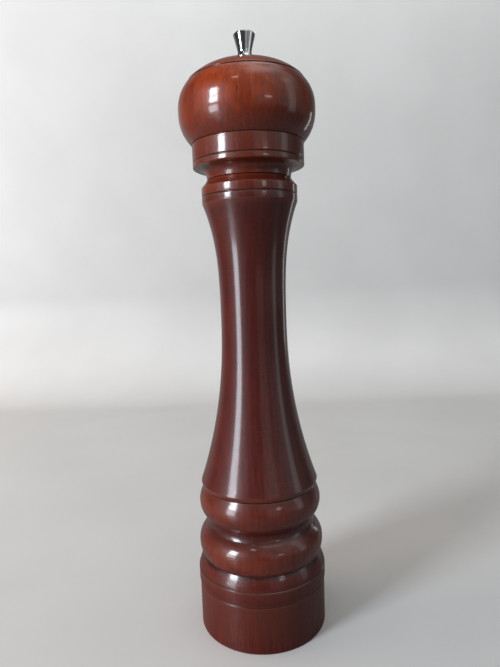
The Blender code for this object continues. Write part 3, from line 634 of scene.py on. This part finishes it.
def make_scratch_group():
    """Fine wear on metal: long thin scratches both ways, and a cloud of dull patches."""
    tree, given, out = new_group(
        "fine_wear", {"Vector": "Vector", "Size": "Float"}, {"Scratch": "Float", "Cloud": "Float"}
    )
    sizes = {0: given["Vector"], 3: given["Size"]}
    sized = node(tree, "VectorMath", sizes, operation="SCALE").outputs[0]
    marks = []
    for stretch in ((1.0, 0.03, 0.03), (0.04, 1.0, 0.04)):
        drawn = noise(tree, scaled(tree, sized, stretch), 2400.0, 1.0)
        marks.append(spread_over(tree, drawn, 0.66, 0.72))
    tree.links.new(maths(tree, "MAXIMUM", *marks), out["Scratch"])
    cloud = noise(tree, sized, 130.0, 4.0, 0.6)
    tree.links.new(spread_over(tree, cloud, 0.32, 0.68), out["Cloud"])
    return tree


def start_metal(name, size):
    """What new_material gives, and the wear's dull patches and scratches."""
    parts = new_material(name, Metallic=1.0)
    worn = use_group(parts[1], fine_wear, {"Vector": parts[3], "Size": size})
    return *parts, worn["Cloud"], worn["Scratch"]


def make_zinc():
    """Zinc plate: soft grey crystals, a little yellowed, with fine scratches."""
    material, tree, shader, point, cloud, scratch = start_metal("zinc_plate", 1.0)
    crystal = node(tree, "TexVoronoi", {"Vector": point, "Scale": 420.0}).outputs["Color"]
    flake = node(tree, "SeparateColor", {0: crystal}).outputs[0]
    color = mixed(tree, times(tree, flake, 0.5), rgb(0.50, 0.50, 0.49), rgb(0.62, 0.61, 0.58))
    color = mixed(tree, times(tree, cloud, 0.35), color, rgb(0.40, 0.38, 0.32))
    rough = plus(tree, 0.26, times(tree, cloud, 0.16))
    rough = plus(tree, rough, times(tree, flake, 0.06))
    relief = maths(tree, "SUBTRACT", times(tree, flake, 0.3), scratch)
    dress(tree, shader, color, rough, 0.25, 0.00005, relief)
    return material


fine_wear = make_scratch_group()
zinc = make_zinc()

half_arm = np.arcsin(BRIDGE_ARM_WIDTH / (BRIDGE_HUB + BRIDGE_RING))
arms = 2 * np.pi * np.arange(3) / 3
outlines = [circle(STATOR_RADIUS), circle(SHAFT_BORE)]
outlines += [
    window(BRIDGE_HUB, BRIDGE_RING, arm + half_arm, arm + 2 * np.pi / 3 - half_arm) for arm in arms
]
bridge = stamped("bridge_spider", outlines, SHEET, BRIDGE_Z, zinc)
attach(bridge, "body")
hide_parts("bridge")

outlines = [circle(RETAINER_RADIUS), circle(RETAINER_OPENING)]
outlines += [circle(SCREW_HOLE, 32, place) for place in screw_places(RETAINER_SCREWS)]
retainer = stamped("burr_retainer", outlines, SHEET, RETAINER_Z, zinc)
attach(retainer, "body")
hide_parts("retainer_plate")


# ---- The retainer's wood screws -------------------------------------------------------
# Three plated wood screws with a low domed head and a cross recess, driven up into the
# ledge. The thread is rolled, and runs out at a sharp point.
SCREW_HEAD_RADIUS = 2.3
SCREW_HEAD = 1.4
SCREW_RADIUS = 1.1
SCREW_LENGTH = 9.0
SCREW_POINT = 2.4
SCREW_PITCH = 1.0
SCREW_CORE = 0.72
SCREW_RIDGE = 0.45
SCREW_DOME = 0.75
SCREW_COLUMNS = 96
RETAINER_SCREW_Z = 6.8
RECESS_ARM = (0.34, 1.15)
RECESS_DEPTH = 0.75


def wood_screw(name, place, low_z, turn):
    """One screw, head down. The head is a flat dome from its middle out to the rim, sunk by the
    recess, a cross of two bars. The shank's radius is the core plus a ridge that climbs one
    pitch a turn: a thin triangle wave of height over the pitch less the share of a turn."""
    angle = 2 * np.pi * np.arange(SCREW_COLUMNS) / SCREW_COLUMNS
    out = np.concatenate([np.linspace(0, 0.62, 22), np.linspace(0.66, 1.0, 10)]) * SCREW_HEAD_RADIUS
    dome = SCREW_HEAD * SCREW_DOME * (1 - np.sqrt(1 - (0.985 * out / SCREW_HEAD_RADIUS) ** 2))
    x = out[:, None] * np.cos(angle - turn)
    y = out[:, None] * np.sin(angle - turn)
    narrow, far = RECESS_ARM
    bars = [
        smooth_share(narrow + 0.1 - abs(side), 0, 0.2) * smooth_share(far + 0.1 - abs(end), 0, 0.3)
        for side, end in ((x, y), (y, x))
    ]
    sunk = dome[:, None] + RECESS_DEPTH * np.maximum(*bars)
    head = ring_points(np.repeat(out[:, None], SCREW_COLUMNS, 1), sunk)
    rim = ring_points(
        np.repeat([[SCREW_HEAD_RADIUS], [SCREW_RADIUS + 0.2]], SCREW_COLUMNS, 1),
        np.array([SCREW_HEAD, SCREW_HEAD]),
    )
    rise = np.linspace(0.1, SCREW_LENGTH, 100)
    wave = (rise[:, None] / SCREW_PITCH - angle / (2 * np.pi)) % 1.0
    ridge = np.clip(1 - abs(2 * wave - 1) / SCREW_RIDGE, 0, 1)
    full = np.clip((SCREW_LENGTH - rise) / SCREW_POINT, 0, 1)[:, None]
    ridge = ridge * smooth_share(rise[:, None], 0.6, 1.6)
    shank = full * (SCREW_CORE + (1 - SCREW_CORE) * ridge) * SCREW_RADIUS
    thread = ring_points(shank, SCREW_HEAD + rise)
    rows = np.concatenate([head, rim, thread]) + np.array([*place, low_z])
    return skin(name, rows, False, screw_steel)


def make_screw_steel():
    """Bright plating with dull, darker patches here and there."""
    material, tree, shader, _, cloud, scratch = start_metal("screw_steel", 1.6)
    color = mixed(tree, cloud, rgb(0.56, 0.55, 0.52), rgb(0.38, 0.36, 0.32))
    rough = plus(tree, 0.2, times(tree, cloud, 0.2))
    dress(tree, shader, color, rough, 0.2, 0.00004, times(tree, scratch, -1.0))
    return material


screw_steel = make_screw_steel()

for number, place in enumerate(screw_places(RETAINER_SCREWS), 1):
    screw = wood_screw(f"ledge_screw_{number}", place, RETAINER_SCREW_Z, 0.9 * number)
    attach(screw, "body")
    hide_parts(f"retainer_screw_{number}")


# ---- The spring and its seat ----------------------------------------------------------
# The seat is a stamped washer with a square hole, which turns with the shaft under the
# bridge. The spring of drawn wire, its end turns closed, presses the inner burr down.
SEAT_Z = 29.0
SEAT_THICKNESS = 1.0
SEAT_RADIUS = 5.194
SQUARE_HOLE = 5.4
WIRE_RADIUS = 0.4
SPRING_RADIUS = 4.194
SPRING_LOW, SPRING_HIGH = 22.3, 28.7
SPRING_TURNS = 5.0
CLOSED_TURNS = 0.8
WIRE_SIDES = 14


def eased_square(side, reach=0.35, steps=6):
    """A square's outline with rounded corners."""
    half = side / 2
    corners = np.array([(half, half), (-half, half), (-half, -half), (half, -half)])
    return eased(corners, reach, steps=steps)


def spring_wire():
    """A tube along a helix: its turns climb evenly, but for the closed ones at each end, which
    rise by one wire. The tube's rings stand square to the helix, and its ends are ground."""
    turns = np.linspace(0, SPRING_TURNS, 300)
    low = SPRING_LOW + WIRE_RADIUS
    high = SPRING_HIGH - WIRE_RADIUS
    wire = 2 * WIRE_RADIUS * CLOSED_TURNS
    marks = (0, CLOSED_TURNS, SPRING_TURNS - CLOSED_TURNS, SPRING_TURNS)
    height = np.interp(turns, marks, (low, low + wire, high - wire, high))
    angle = 2 * np.pi * turns
    out = np.stack([np.cos(angle), np.sin(angle), np.zeros_like(angle)], 1)
    centre = out * SPRING_RADIUS
    centre[:, 2] = height
    along = np.gradient(centre, axis=0)
    along /= np.linalg.norm(along, axis=1, keepdims=True)
    side = np.cross(along, out)
    side /= np.linalg.norm(side, axis=1, keepdims=True)
    ring = unit_circle(WIRE_SIDES) @ np.stack([out, side], 1)
    rows = centre[:, None] + WIRE_RADIUS * ring
    ends = [np.repeat(rows[i].mean(0)[None, None], WIRE_SIDES, 1) for i in (0, -1)]
    return np.concatenate([ends[0], rows, ends[1]])


def make_drawn_metal_group():
    """Fine lines along the height, as drawing through a die leaves them."""
    tree, given, out = new_group(
        "drawn_lines", {"Vector": "Vector", "Fineness": "Float"}, {"Line": "Float"}
    )
    stretched = scaled(tree, given["Vector"], (1.0, 1.0, 0.01))
    tree.links.new(noise(tree, stretched, given["Fineness"], 3.0), out["Line"])
    return tree


def make_metal(name, light, dark, shine, fineness):
    """Drawn metal: lines along the height in its colour, gloss and surface."""
    material, tree, shader, point, cloud, scratch = start_metal(name, 0.8)
    drawn = use_group(tree, drawn_lines, {"Vector": point, "Fineness": fineness})["Line"]
    color = mixed(tree, spread_over(tree, drawn, 0.3, 0.7), dark, light)
    color = mixed(tree, times(tree, cloud, 0.3), color, dark)
    rough = plus(tree, shine, times(tree, drawn, 0.12))
    rough = plus(tree, rough, times(tree, cloud, 0.08))
    relief = maths(tree, "SUBTRACT", drawn, scratch)
    dress(tree, shader, color, rough, 0.25, 0.00004, relief)
    return material


drawn_lines = make_drawn_metal_group()
spring_steel = make_metal("spring_wire", rgb(0.46, 0.46, 0.47), rgb(0.28, 0.27, 0.26), 0.22, 2600.0)

outlines = [circle(SEAT_RADIUS), eased_square(SQUARE_HOLE)]
seat = stamped("spring_seat_washer", outlines, SEAT_THICKNESS, SEAT_Z, zinc)
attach(seat, "spring_seat")
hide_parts("spring_seat")

spring = skin("grinder_spring", spring_wire(), False, spring_steel)
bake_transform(spring)
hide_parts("spring")


# ---- The shaft ------------------------------------------------------------------------
# A drawn aluminium bar 4.8 mm square with slightly rounded corners. Its top 25 mm are
# turned down round and threaded, 0.8 mm a turn and right-handed, for the nut.
SHAFT_HALF = 2.4
SHAFT_LOW = 7.3
SHOULDER_HEIGHT = 274.7
THREAD_RADIUS = 2.35
THREAD_TOP = 299.7
THREAD_PITCH = 0.8
THREAD_DEPTH = 0.34
THREAD_NECK = 0.4
THREAD_CHAMFER = 0.5
SHAFT_COLUMNS = 72
SHAFT_CORNER = 1.37


def square_loop(half, columns, corner):
    """A square with round corners: a circle of `corner` times the half-side, held inside it."""
    return np.clip(unit_circle(columns) * half * corner, -half, half)


def shaft_rows():
    """The bar's squares from its end up to the shoulder, then the thread, whose radius falls
    below the crest by a triangle wave of height over the pitch less the share of a turn."""
    steps = [(0.0, 0), (0.86, 0), (1.0, 0.35), (1.0, SHOULDER_HEIGHT - SHAFT_LOW)]
    square = square_loop(SHAFT_HALF, SHAFT_COLUMNS, SHAFT_CORNER)
    bar = [np.c_[square * size, np.full(SHAFT_COLUMNS, SHAFT_LOW + up)] for size, up in steps]
    rise = np.arange(SHOULDER_HEIGHT, THREAD_TOP - 0.05, 0.1)
    turn = np.arange(SHAFT_COLUMNS) / SHAFT_COLUMNS
    wave = abs(2 * ((rise[:, None] / THREAD_PITCH - turn) % 1.0) - 1)
    ends = smooth_share(rise[:, None], SHOULDER_HEIGHT, SHOULDER_HEIGHT + 1.5)
    radii = THREAD_RADIUS - THREAD_DEPTH * (THREAD_NECK * (1 - ends) + wave * ends)
    radii -= THREAD_CHAMFER * smooth_share(rise[:, None], THREAD_TOP - 0.6, THREAD_TOP)
    tip = np.array([THREAD_TOP, THREAD_TOP])
    cap = np.repeat([[THREAD_RADIUS - 0.75], [0.0]], SHAFT_COLUMNS, 1)
    return np.concatenate([np.array(bar), ring_points(radii, rise), ring_points(cap, tip)])


light, dark = rgb(0.74, 0.75, 0.76), rgb(0.55, 0.55, 0.55)
aluminium = make_metal("drawn_aluminium", light, dark, 0.26, 2200.0)

shaft = skin("square_shaft", shaft_rows(), False, aluminium)
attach(shaft, "shaft")
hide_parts("drive_shaft")


# ---- The inner burr, its washer and its clip ------------------------------------------
# The hardened steel burr slides on the square. A thin washer above it takes the spring,
# and a spring clip pushed onto the bar's tail holds it from below.
ROTOR_LOW = 9.7
ROTOR_HEIGHT = 11.4
ROTOR_TIP = (11.3, 9.9)
ROTOR_TEETH = 36
ROTOR_LOBES = 6
ROTOR_COLUMNS = 432
ROTOR_HEIGHTS = (FINE_TOP, 9.4, ROTOR_HEIGHT)
ROTOR_RADII = (9.0, 8.0, 7.0)
ROTOR_LOBE_LEAN = 0.045
ROTOR_BLEND = 1.2
ROTOR_CORNER = 1.38
ROTOR_WASHER_Z = 21.4
ROTOR_WASHER_THICKNESS = 0.6
CLIP_Z = 8.6
CLIP_RADIUS = 4.8
CLIP_THICKNESS = 0.8


def rotor_rows():
    """From the square hole out under the burr, up its toothed side, and back over its top to
    the hole. The fine cone's tips lose the depth of a saw tooth, and above it the lobes lose
    that of a half-cosine, both leaning as they climb."""
    rise = np.concatenate([
        np.linspace(0, FINE_TOP, 16), np.linspace(5.7, 7.5, 7), np.linspace(8.0, ROTOR_HEIGHT, 8),
    ])[:, None]
    turn = np.arange(ROTOR_COLUMNS) / ROTOR_COLUMNS
    teeth = 1 - saw(turn * ROTOR_TEETH - FINE_LEAN * rise)
    fine = np.interp(rise, (0, FINE_TOP), ROTOR_TIP) - FINE_DEPTH * teeth
    lobes = 1 - lobe(turn * ROTOR_LOBES + ROTOR_LOBE_LEAN * rise)
    coarse = np.interp(rise, ROTOR_HEIGHTS, ROTOR_RADII) - COARSE_DEPTH * lobes
    share = smooth_share(rise, FINE_TOP, FINE_TOP + ROTOR_BLEND)
    side = fine * (1 - share) + coarse * share
    hole = square_loop(SQUARE_HOLE / 2, ROTOR_COLUMNS, ROTOR_CORNER)
    low, high = (np.c_[hole, np.full(ROTOR_COLUMNS, z)][None] for z in (0.0, ROTOR_HEIGHT))
    rows = np.concatenate([low, ring_points(side, rise), high])
    tips = np.zeros(rows.shape[:2])
    tips[1:-1] = side > np.quantile(side, 0.72, axis=1, keepdims=True)
    return rows + np.array([0, 0, ROTOR_LOW]), tips


rows, tips = rotor_rows()
rotor = skin("inner_burr", rows, True, burr_steel, {"edge": tips})
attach(rotor, "shaft")
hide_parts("rotor")

outlines = [circle(SEAT_RADIUS), eased_square(SQUARE_HOLE)]
washer = stamped("burr_washer", outlines, ROTOR_WASHER_THICKNESS, ROTOR_WASHER_Z, zinc)
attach(washer, "shaft")
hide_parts("rotor_washer")

outlines = [circle(CLIP_RADIUS), eased_square(SQUARE_HOLE, 0.2)]
clip = stamped("tail_clip", outlines, CLIP_THICKNESS, CLIP_Z, spring_steel)
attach(clip, "shaft")
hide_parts("shaft_clip")


# ---- The wooden head ------------------------------------------------------------------
# Turned from the same wood and finished like the body. Its spigot runs in the body's
# bore, and the hole up its axis clears the shaft below and the thread at the top.
PARTING_Z = 232.9
COLLAR_Z = 238.5
COLLAR_RADIUS = 27.85
COLLAR_LINE_Z = 241.4
BULB_FOOT = (28.1, 250.2)
BULB = (33.86, 265.5)
BULB_POWERS = (2.48, 2.42)
BULB_TOP_RADIUS = 29.1
CAP_Z = 279.1
CAP_TOP_Z = 288.0
CAP_FLAT_RADIUS = 5.6
CAP_POWER = 3.08
UNDER_POWERS = (0.75, 0.8)
SPIGOT_RADIUS = 11.65
SPIGOT_Z = 215.9
NUT_BORE = 2.65
HEAD_SHOULDER_Z = 277.2


def head_outline():
    """The head's whole section: its underside, its outside up to the nut, then down the hole
    and round the spigot. The underside is a hollow quarter curve, and the cap falls from its
    top by a power of the share of its radius."""
    quarter = np.linspace(0, np.pi / 2, 9)
    low = np.array([LIP_RADIUS - LINE_HALF, PARTING_Z])
    high = np.array([COLLAR_RADIUS - LINE_HALF, COLLAR_Z])
    out, rise = 1 - np.cos(quarter) ** UNDER_POWERS[0], np.sin(quarter) ** UNDER_POWERS[1]
    under = low + (high - low) * np.stack([out, rise], 1)
    rim = BULB_TOP_RADIUS - LINE_HALF
    share = np.concatenate([np.linspace(1, 0.8, 12), np.linspace(0.76, CAP_FLAT_RADIUS / rim, 16)])
    fall = (CAP_TOP_Z - CAP_Z - LINE_HALF) * share ** CAP_POWER
    cap = np.stack([rim * share, CAP_TOP_Z - fall], 1)
    return np.concatenate([
        [(SPIGOT_RADIUS, PARTING_Z)],
        under,
        [(COLLAR_RADIUS, COLLAR_Z + LINE_HALF)],
        turned_line(COLLAR_RADIUS, COLLAR_LINE_Z),
        [(COLLAR_RADIUS, BULB_FOOT[1] - LINE_HALF), (COLLAR_RADIUS - LINE_DEPTH, BULB_FOOT[1])],
        swell(BULB_FOOT, BULB, (BULB_TOP_RADIUS, CAP_Z - LINE_HALF), BULB_POWERS, 24),
        [(rim - LINE_DEPTH, CAP_Z)],
        cap,
        [(NUT_BORE + BORE_CHAMFER, CAP_TOP_Z), (NUT_BORE, CAP_TOP_Z - BORE_CHAMFER)],
        [(NUT_BORE, HEAD_SHOULDER_Z), (SHAFT_BORE, HEAD_SHOULDER_Z), (SHAFT_BORE, SPIGOT_Z)],
        [(SPIGOT_RADIUS - BORE_CHAMFER, SPIGOT_Z), (SPIGOT_RADIUS, SPIGOT_Z + BORE_CHAMFER)],
    ])


outline = kept_close(eased(head_outline(), WOOD_EASE))
radius, height = outline.T
edge, line = edges_and_lines(outline)
bare = np.clip((SPIGOT_RADIUS + 0.8 - radius) / 0.6, 0, 1) * (height < PARTING_Z + 0.2)
bare = np.maximum(bare, (radius < SHAFT_BORE + 0.1) & (height < CAP_TOP_Z - 0.5))
bulb = smooth_share(height, BULB_FOOT[1], BULB[1] + 3.0)
held = HELD_COLLAR + (1 - HELD_COLLAR) * bulb
masks = {"edge": edge, "line": line, "bare": bare, "satin": 0 * height, "held": held}
head = skin("wooden_head", spun(outline, WOOD_COLUMNS), True, wood, masks)
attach(head, "head")
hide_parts("head")


# ---- The drive plate and its screws ---------------------------------------------------
# A stamped steel disc on the end of the spigot. Its square hole fits the shaft, so the
# head turns the burr, and three wood screws hold it.
DRIVE_PLATE_Z = 214.4
DRIVE_PLATE_RADIUS = 11.3
DRIVE_SCREWS = (SHAFT_BORE + DRIVE_PLATE_RADIUS) / 2
DRIVE_SCREW_Z = 212.7

outlines = [circle(DRIVE_PLATE_RADIUS), eased_square(SQUARE_HOLE)]
outlines += [circle(SCREW_HOLE, 32, place) for place in screw_places(DRIVE_SCREWS)]
drive_plate = stamped("drive_disc", outlines, SHEET, DRIVE_PLATE_Z, zinc)
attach(drive_plate, "head")
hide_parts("drive_plate")

for number, place in enumerate(screw_places(DRIVE_SCREWS), 1):
    screw = wood_screw(f"disc_screw_{number}", place, DRIVE_SCREW_Z, 0.7 * number)
    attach(screw, "head")
    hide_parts(f"plate_screw_{number}")


# ---- The nut and its washer -----------------------------------------------------------
# The adjusting nut is turned from bar and chromed: a round foot, a narrow waist and a
# cone that widens to a flat top. A thin chromed washer keeps it off the lacquer.
WASHER_Z = 288.3
WASHER_THICKNESS = 0.6
WASHER_RADIUS = 5.2
NUT_Z = 289.2
NUT_TOP = 302.6
NUT_FOOT = (4.7, 1.6)
NUT_WAIST = (3.4, 294.0)
NUT_TOP_RADIUS = 5.4
NUT_EDGE = 0.6
NUT_POWERS = (2.2, 1.1)
NUT_DISH = 0.12
NUT_HOLE_TOP = 300.9
NUT_COLUMNS = 128


def nut_outline():
    """From the roof of the threaded hole down its wall, out under the foot, and up the
    outside over the waist to the middle of the top, which is turned very slightly hollow."""
    foot_radius, foot_rise = NUT_FOOT
    fillet = np.linspace(0, 1, 8)[1:-1, None]
    foot = np.array([foot_radius, NUT_Z + foot_rise])
    waist = np.array(NUT_WAIST)
    sweep = foot + (waist - foot) * np.concatenate([1 - (1 - fillet) ** NUT_POWERS[0], fillet], 1)
    top = np.linspace(NUT_TOP_RADIUS - NUT_EDGE, 0, 9)
    dish = NUT_DISH * smooth_share(NUT_TOP_RADIUS - NUT_EDGE - top, 0.2, 1.4)
    return np.concatenate([
        [(0.0, NUT_HOLE_TOP), (NUT_BORE, NUT_HOLE_TOP), (NUT_BORE, NUT_Z)],
        [(foot_radius - LINE_HALF, NUT_Z), (foot_radius, NUT_Z + LINE_HALF), foot],
        sweep,
        flare(NUT_WAIST, (NUT_TOP_RADIUS, NUT_TOP - NUT_EDGE), NUT_POWERS[1], 14),
        np.stack([top, NUT_TOP - dish], 1),
    ])


def make_chrome():
    """Polished chrome plate with hairline scratches and faint smears."""
    material, tree, shader, point, cloud, scratch = start_metal("chrome_plate", 2.2)
    dulled = times(tree, cloud, 0.5)
    color = mixed(tree, dulled, rgb(0.78, 0.79, 0.81), rgb(0.66, 0.67, 0.69))
    rough = plus(tree, 0.07, times(tree, cloud, 0.07))
    lathe = noise(tree, scaled(tree, point, (0.02, 0.02, 1.0)), 5200.0)
    relief = maths(tree, "SUBTRACT", times(tree, lathe, 0.4), scratch)
    dress(tree, shader, color, rough, 0.12, 0.00003, relief)
    return material


chrome = make_chrome()

ring = np.array([
    (NUT_BORE, WASHER_Z), (WASHER_RADIUS, WASHER_Z),
    (WASHER_RADIUS, WASHER_Z + WASHER_THICKNESS), (NUT_BORE, WASHER_Z + WASHER_THICKNESS),
])
nut_washer = skin("nut_washer", spun(eased(ring, 0.15), NUT_COLUMNS), True, chrome)
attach(nut_washer, "knob_washer")
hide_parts("knob_washer")

outline = eased(nut_outline(), 0.2, closed=False)
nut = skin("chromed_nut", spun(outline, NUT_COLUMNS), False, chrome)
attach(nut, "knob")
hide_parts("adjusting_knob")


# ---- The setting ----------------------------------------------------------------------
# A pale floor that curves up into a pale wall, window light from the left, a dim screen on
# the right and a soft lamp overhead. To every ray but the camera's the backdrop is dark
# except behind the mill, so the lacquer reflects little of it.
FLOOR_HALF = 2.2
FLOOR_FRONT = -1.6
WALL_Y = 0.62
WALL_CURVE = 0.16
WALL_TOP = 1.7
LIT_MIDDLE = (0.0, 0.3, 0.1)
LIT_REACH = (0.5, 0.95)


def sweep_rows():
    """The backdrop's section, from the front of the floor to the top of the wall: a straight
    floor, a quarter circle and a straight wall, carried from left to right."""
    quarter = np.linspace(0, np.pi / 2, 24)
    bend_y = WALL_Y - WALL_CURVE + WALL_CURVE * np.sin(quarter)
    bend_z = WALL_CURVE - WALL_CURVE * np.cos(quarter)
    y = np.concatenate([[FLOOR_FRONT], bend_y, [WALL_Y]])
    z = np.concatenate([[0.0], bend_z, [WALL_TOP]])
    section = np.stack([0 * y, y, z], 1)[:, None]
    return section + np.array([(-FLOOR_HALF, 0.0, 0.0), (FLOOR_HALF, 0.0, 0.0)])


def make_backdrop():
    """The sweep, seen from its pale side only, so it never hides the mill. It throws no
    shadow either, so that light from under the floor reaches the recess."""
    rows = sweep_rows()
    index = np.arange(rows.shape[0] * 2).reshape(-1, 2)
    faces = np.stack([index[:-1, 0], index[:-1, 1], index[1:, 1], index[1:, 0]], -1)
    mesh = bpy.data.meshes.new("backdrop")
    mesh.from_pydata(rows.reshape(-1, 3).tolist(), [], faces.tolist())
    mesh.polygons.foreach_set("use_smooth", np.ones(len(faces), bool))
    material, tree, shader, point = new_material("pale_paint", Roughness=0.45)
    path = node(tree, "LightPath").outputs
    mottle = spread_over(tree, noise(tree, point, 9.0, 4.0), 0.3, 0.7)
    pale = mixed(tree, mottle, rgb(0.76, 0.76, 0.75), rgb(0.80, 0.80, 0.79))
    # Painted light and shade: to every ray but the camera's the paint is pale only in a pool round
    # the mill, and dark beyond it.
    beside = node(tree, "VectorMath", {0: point, 1: LIT_MIDDLE}, operation="DISTANCE")
    painted_pool_of_light = spread_over(tree, beside.outputs["Value"], *LIT_REACH, 0.25, 0.05)
    painted_pool_of_light = maths(tree, "MAXIMUM", painted_pool_of_light, path["Is Camera Ray"])
    tree.links.new(mixed(tree, painted_pool_of_light, rgb(0.05, 0.05, 0.05), pale), shader.inputs["Base Color"])
    behind = node(tree, "NewGeometry").outputs["Backfacing"]
    behind = maths(tree, "MAXIMUM", behind, path["Is Shadow Ray"])
    clear = node(tree, "BsdfTransparent").outputs[0]
    one_sided = node(tree, "MixShader", {0: behind, 1: shader.outputs[0], 2: clear})
    tree.links.new(one_sided.outputs[0], tree.nodes["Material Output"].inputs["Surface"])
    mesh.materials.append(material)
    return placed("backdrop", mesh)


def aimed(name, data, place, target):
    """An object at a place, looking down its own -Z axis at a target."""
    back = Vector(place) - Vector(target)
    thing = placed(name, data)
    turn = back.to_track_quat("Z", "Y").to_matrix().to_4x4()
    thing.matrix_world = Matrix.Translation(place) @ turn
    return thing


def panel(name, place, target, size, power, color=(1.0, 1.0, 1.0), mirrored=True):
    """A rectangular soft light, which glossy surfaces can be kept from mirroring."""
    light = bpy.data.lights.new(name, "AREA")
    light.shape = "RECTANGLE"
    light.size, light.size_y = size
    light.energy = power
    light.color = color
    aimed(name, light, place, target).visible_glossy = mirrored


make_backdrop()

AIM = np.array([0.0, 0.0, 0.2])
DAYLIGHT = (0.86, 0.92, 1.0)
WARM = (1.0, 0.82, 0.66)
RECESS_LAMP_Z = -0.25
RECESS_LAMP_REACH = 0.019


def toward(around, rise, away):
    """A place that far from the mill, so many degrees to the right of straight ahead of the
    camera's side, and that high over the middle of the mill."""
    side = np.radians(around)
    return AIM + np.array([away * np.sin(side), -away * np.cos(side), rise])


panel("upper_pane", toward(-53, 0.74, 1.8), AIM, (0.44, 0.30), 11.5, DAYLIGHT)
panel("lower_pane", toward(-53, 0.39, 1.8), AIM, (0.44, 0.28), 11.5, DAYLIGHT)
panel("window_sill", toward(-54, -0.07, 1.0), AIM, (0.28, 0.26), 2.2, DAYLIGHT)
panel("left_wall", toward(-96, 0.18, 1.2), AIM, (1.0, 0.6), 7.0, WARM, mirrored=False)
panel("right_screen", toward(78, 0.35, 1.1), AIM, (0.30, 1.2), 0.6)
panel("right_edge", toward(130, 0.02, 0.75), AIM, (0.05, 0.30), 0.12)
panel("small_lamp_left", toward(-20, 1.15, 1.0), AIM, (0.17, 0.10), 0.4)
panel("small_lamp_right", toward(35, 0.25, 1.2), AIM, (0.20, 0.06), 0.2)
panel("overhead", AIM + np.array([-0.1, 0.0, 1.55]), AIM, (1.4, 1.4), 6.5, mirrored=False)
panel("wall_wash", (0.0, 0.30, 0.95), (0.0, WALL_Y, 0.80), (1.6, 0.25), 2.0)


def recess_lamp():
    """A spot under the floor, turned to shine straight up, whose beam only fills the recess."""
    light = bpy.data.lights.new("recess_lamp", "SPOT")
    light.energy = 2.0
    light.spot_size = 2.0 * np.arctan(RECESS_LAMP_REACH / -RECESS_LAMP_Z)
    light.spot_blend = 0.3
    light.shadow_soft_size = 0.02
    upward = Matrix.Rotation(np.pi, 4, "X")
    placed("recess_lamp", light).matrix_world = Matrix.Translation((0, 0, RECESS_LAMP_Z)) @ upward


recess_lamp()


def make_room():
    """A pale grey to the camera. In reflections, uneven, paler to the right and above. Matt
    surfaces are lit by it from above the horizon only."""
    room = bpy.data.worlds.new("room")
    bpy.context.scene.world = room
    room.use_nodes = True
    tree = room.node_tree
    way = node(tree, "TexCoord").outputs["Generated"]
    across, _, up = node(tree, "SeparateXYZ", {0: way}).outputs
    bands = noise(tree, scaled(tree, way, (1.0, 1.0, 0.2)), 2.6, 1.0)
    ceiling = spread_over(tree, up, 0.8, 1.0, 0.0, 0.6)
    glow = plus(tree, spread_over(tree, up, -0.3, 0.6, 0.10, 0.16), ceiling)
    glow = times(tree, glow, spread_over(tree, bands, 0.4, 0.6, 0.4, 1.6))
    glow = times(tree, glow, spread_over(tree, across, -0.7, 0.6, 0.3, 2.0))
    path = node(tree, "LightPath").outputs
    matt = times(tree, maths(tree, "GREATER_THAN", up, -0.02), 0.35)
    glow = times(tree, glow, maths(tree, "MAXIMUM", matt, path["Is Glossy Ray"]))
    color = mixed(tree, path["Is Camera Ray"], glow, rgb(0.50, 0.50, 0.50))
    tree.links.new(color, tree.nodes["Background"].inputs["Color"])


make_room()

CAMERA_AT = (0.0, -0.2741, 0.18625)
CAMERA_LENS = 28.62
CAMERA_DOWN, CAMERA_SIDE, CAMERA_ROLL = np.radians([6.469, -0.464, -2.014])

lens = bpy.data.cameras.new("camera")
lens.sensor_width = 36.0
lens.lens = CAMERA_LENS
lens.clip_start = 0.01
camera = placed("camera", lens)
# It looks along +Y, rolled about its own view, tipped down and then turned to the side.
roll = Matrix.Rotation(CAMERA_ROLL, 4, "Z")
tip = Matrix.Rotation(np.pi / 2 - CAMERA_DOWN, 4, "X")
side = Matrix.Rotation(-CAMERA_SIDE, 4, "Z")
camera.matrix_world = Matrix.Translation(CAMERA_AT) @ side @ tip @ roll
bpy.context.scene.camera = camera
bpy.context.scene.view_settings.view_transform = "Standard"

bpy.context.view_layer.update()
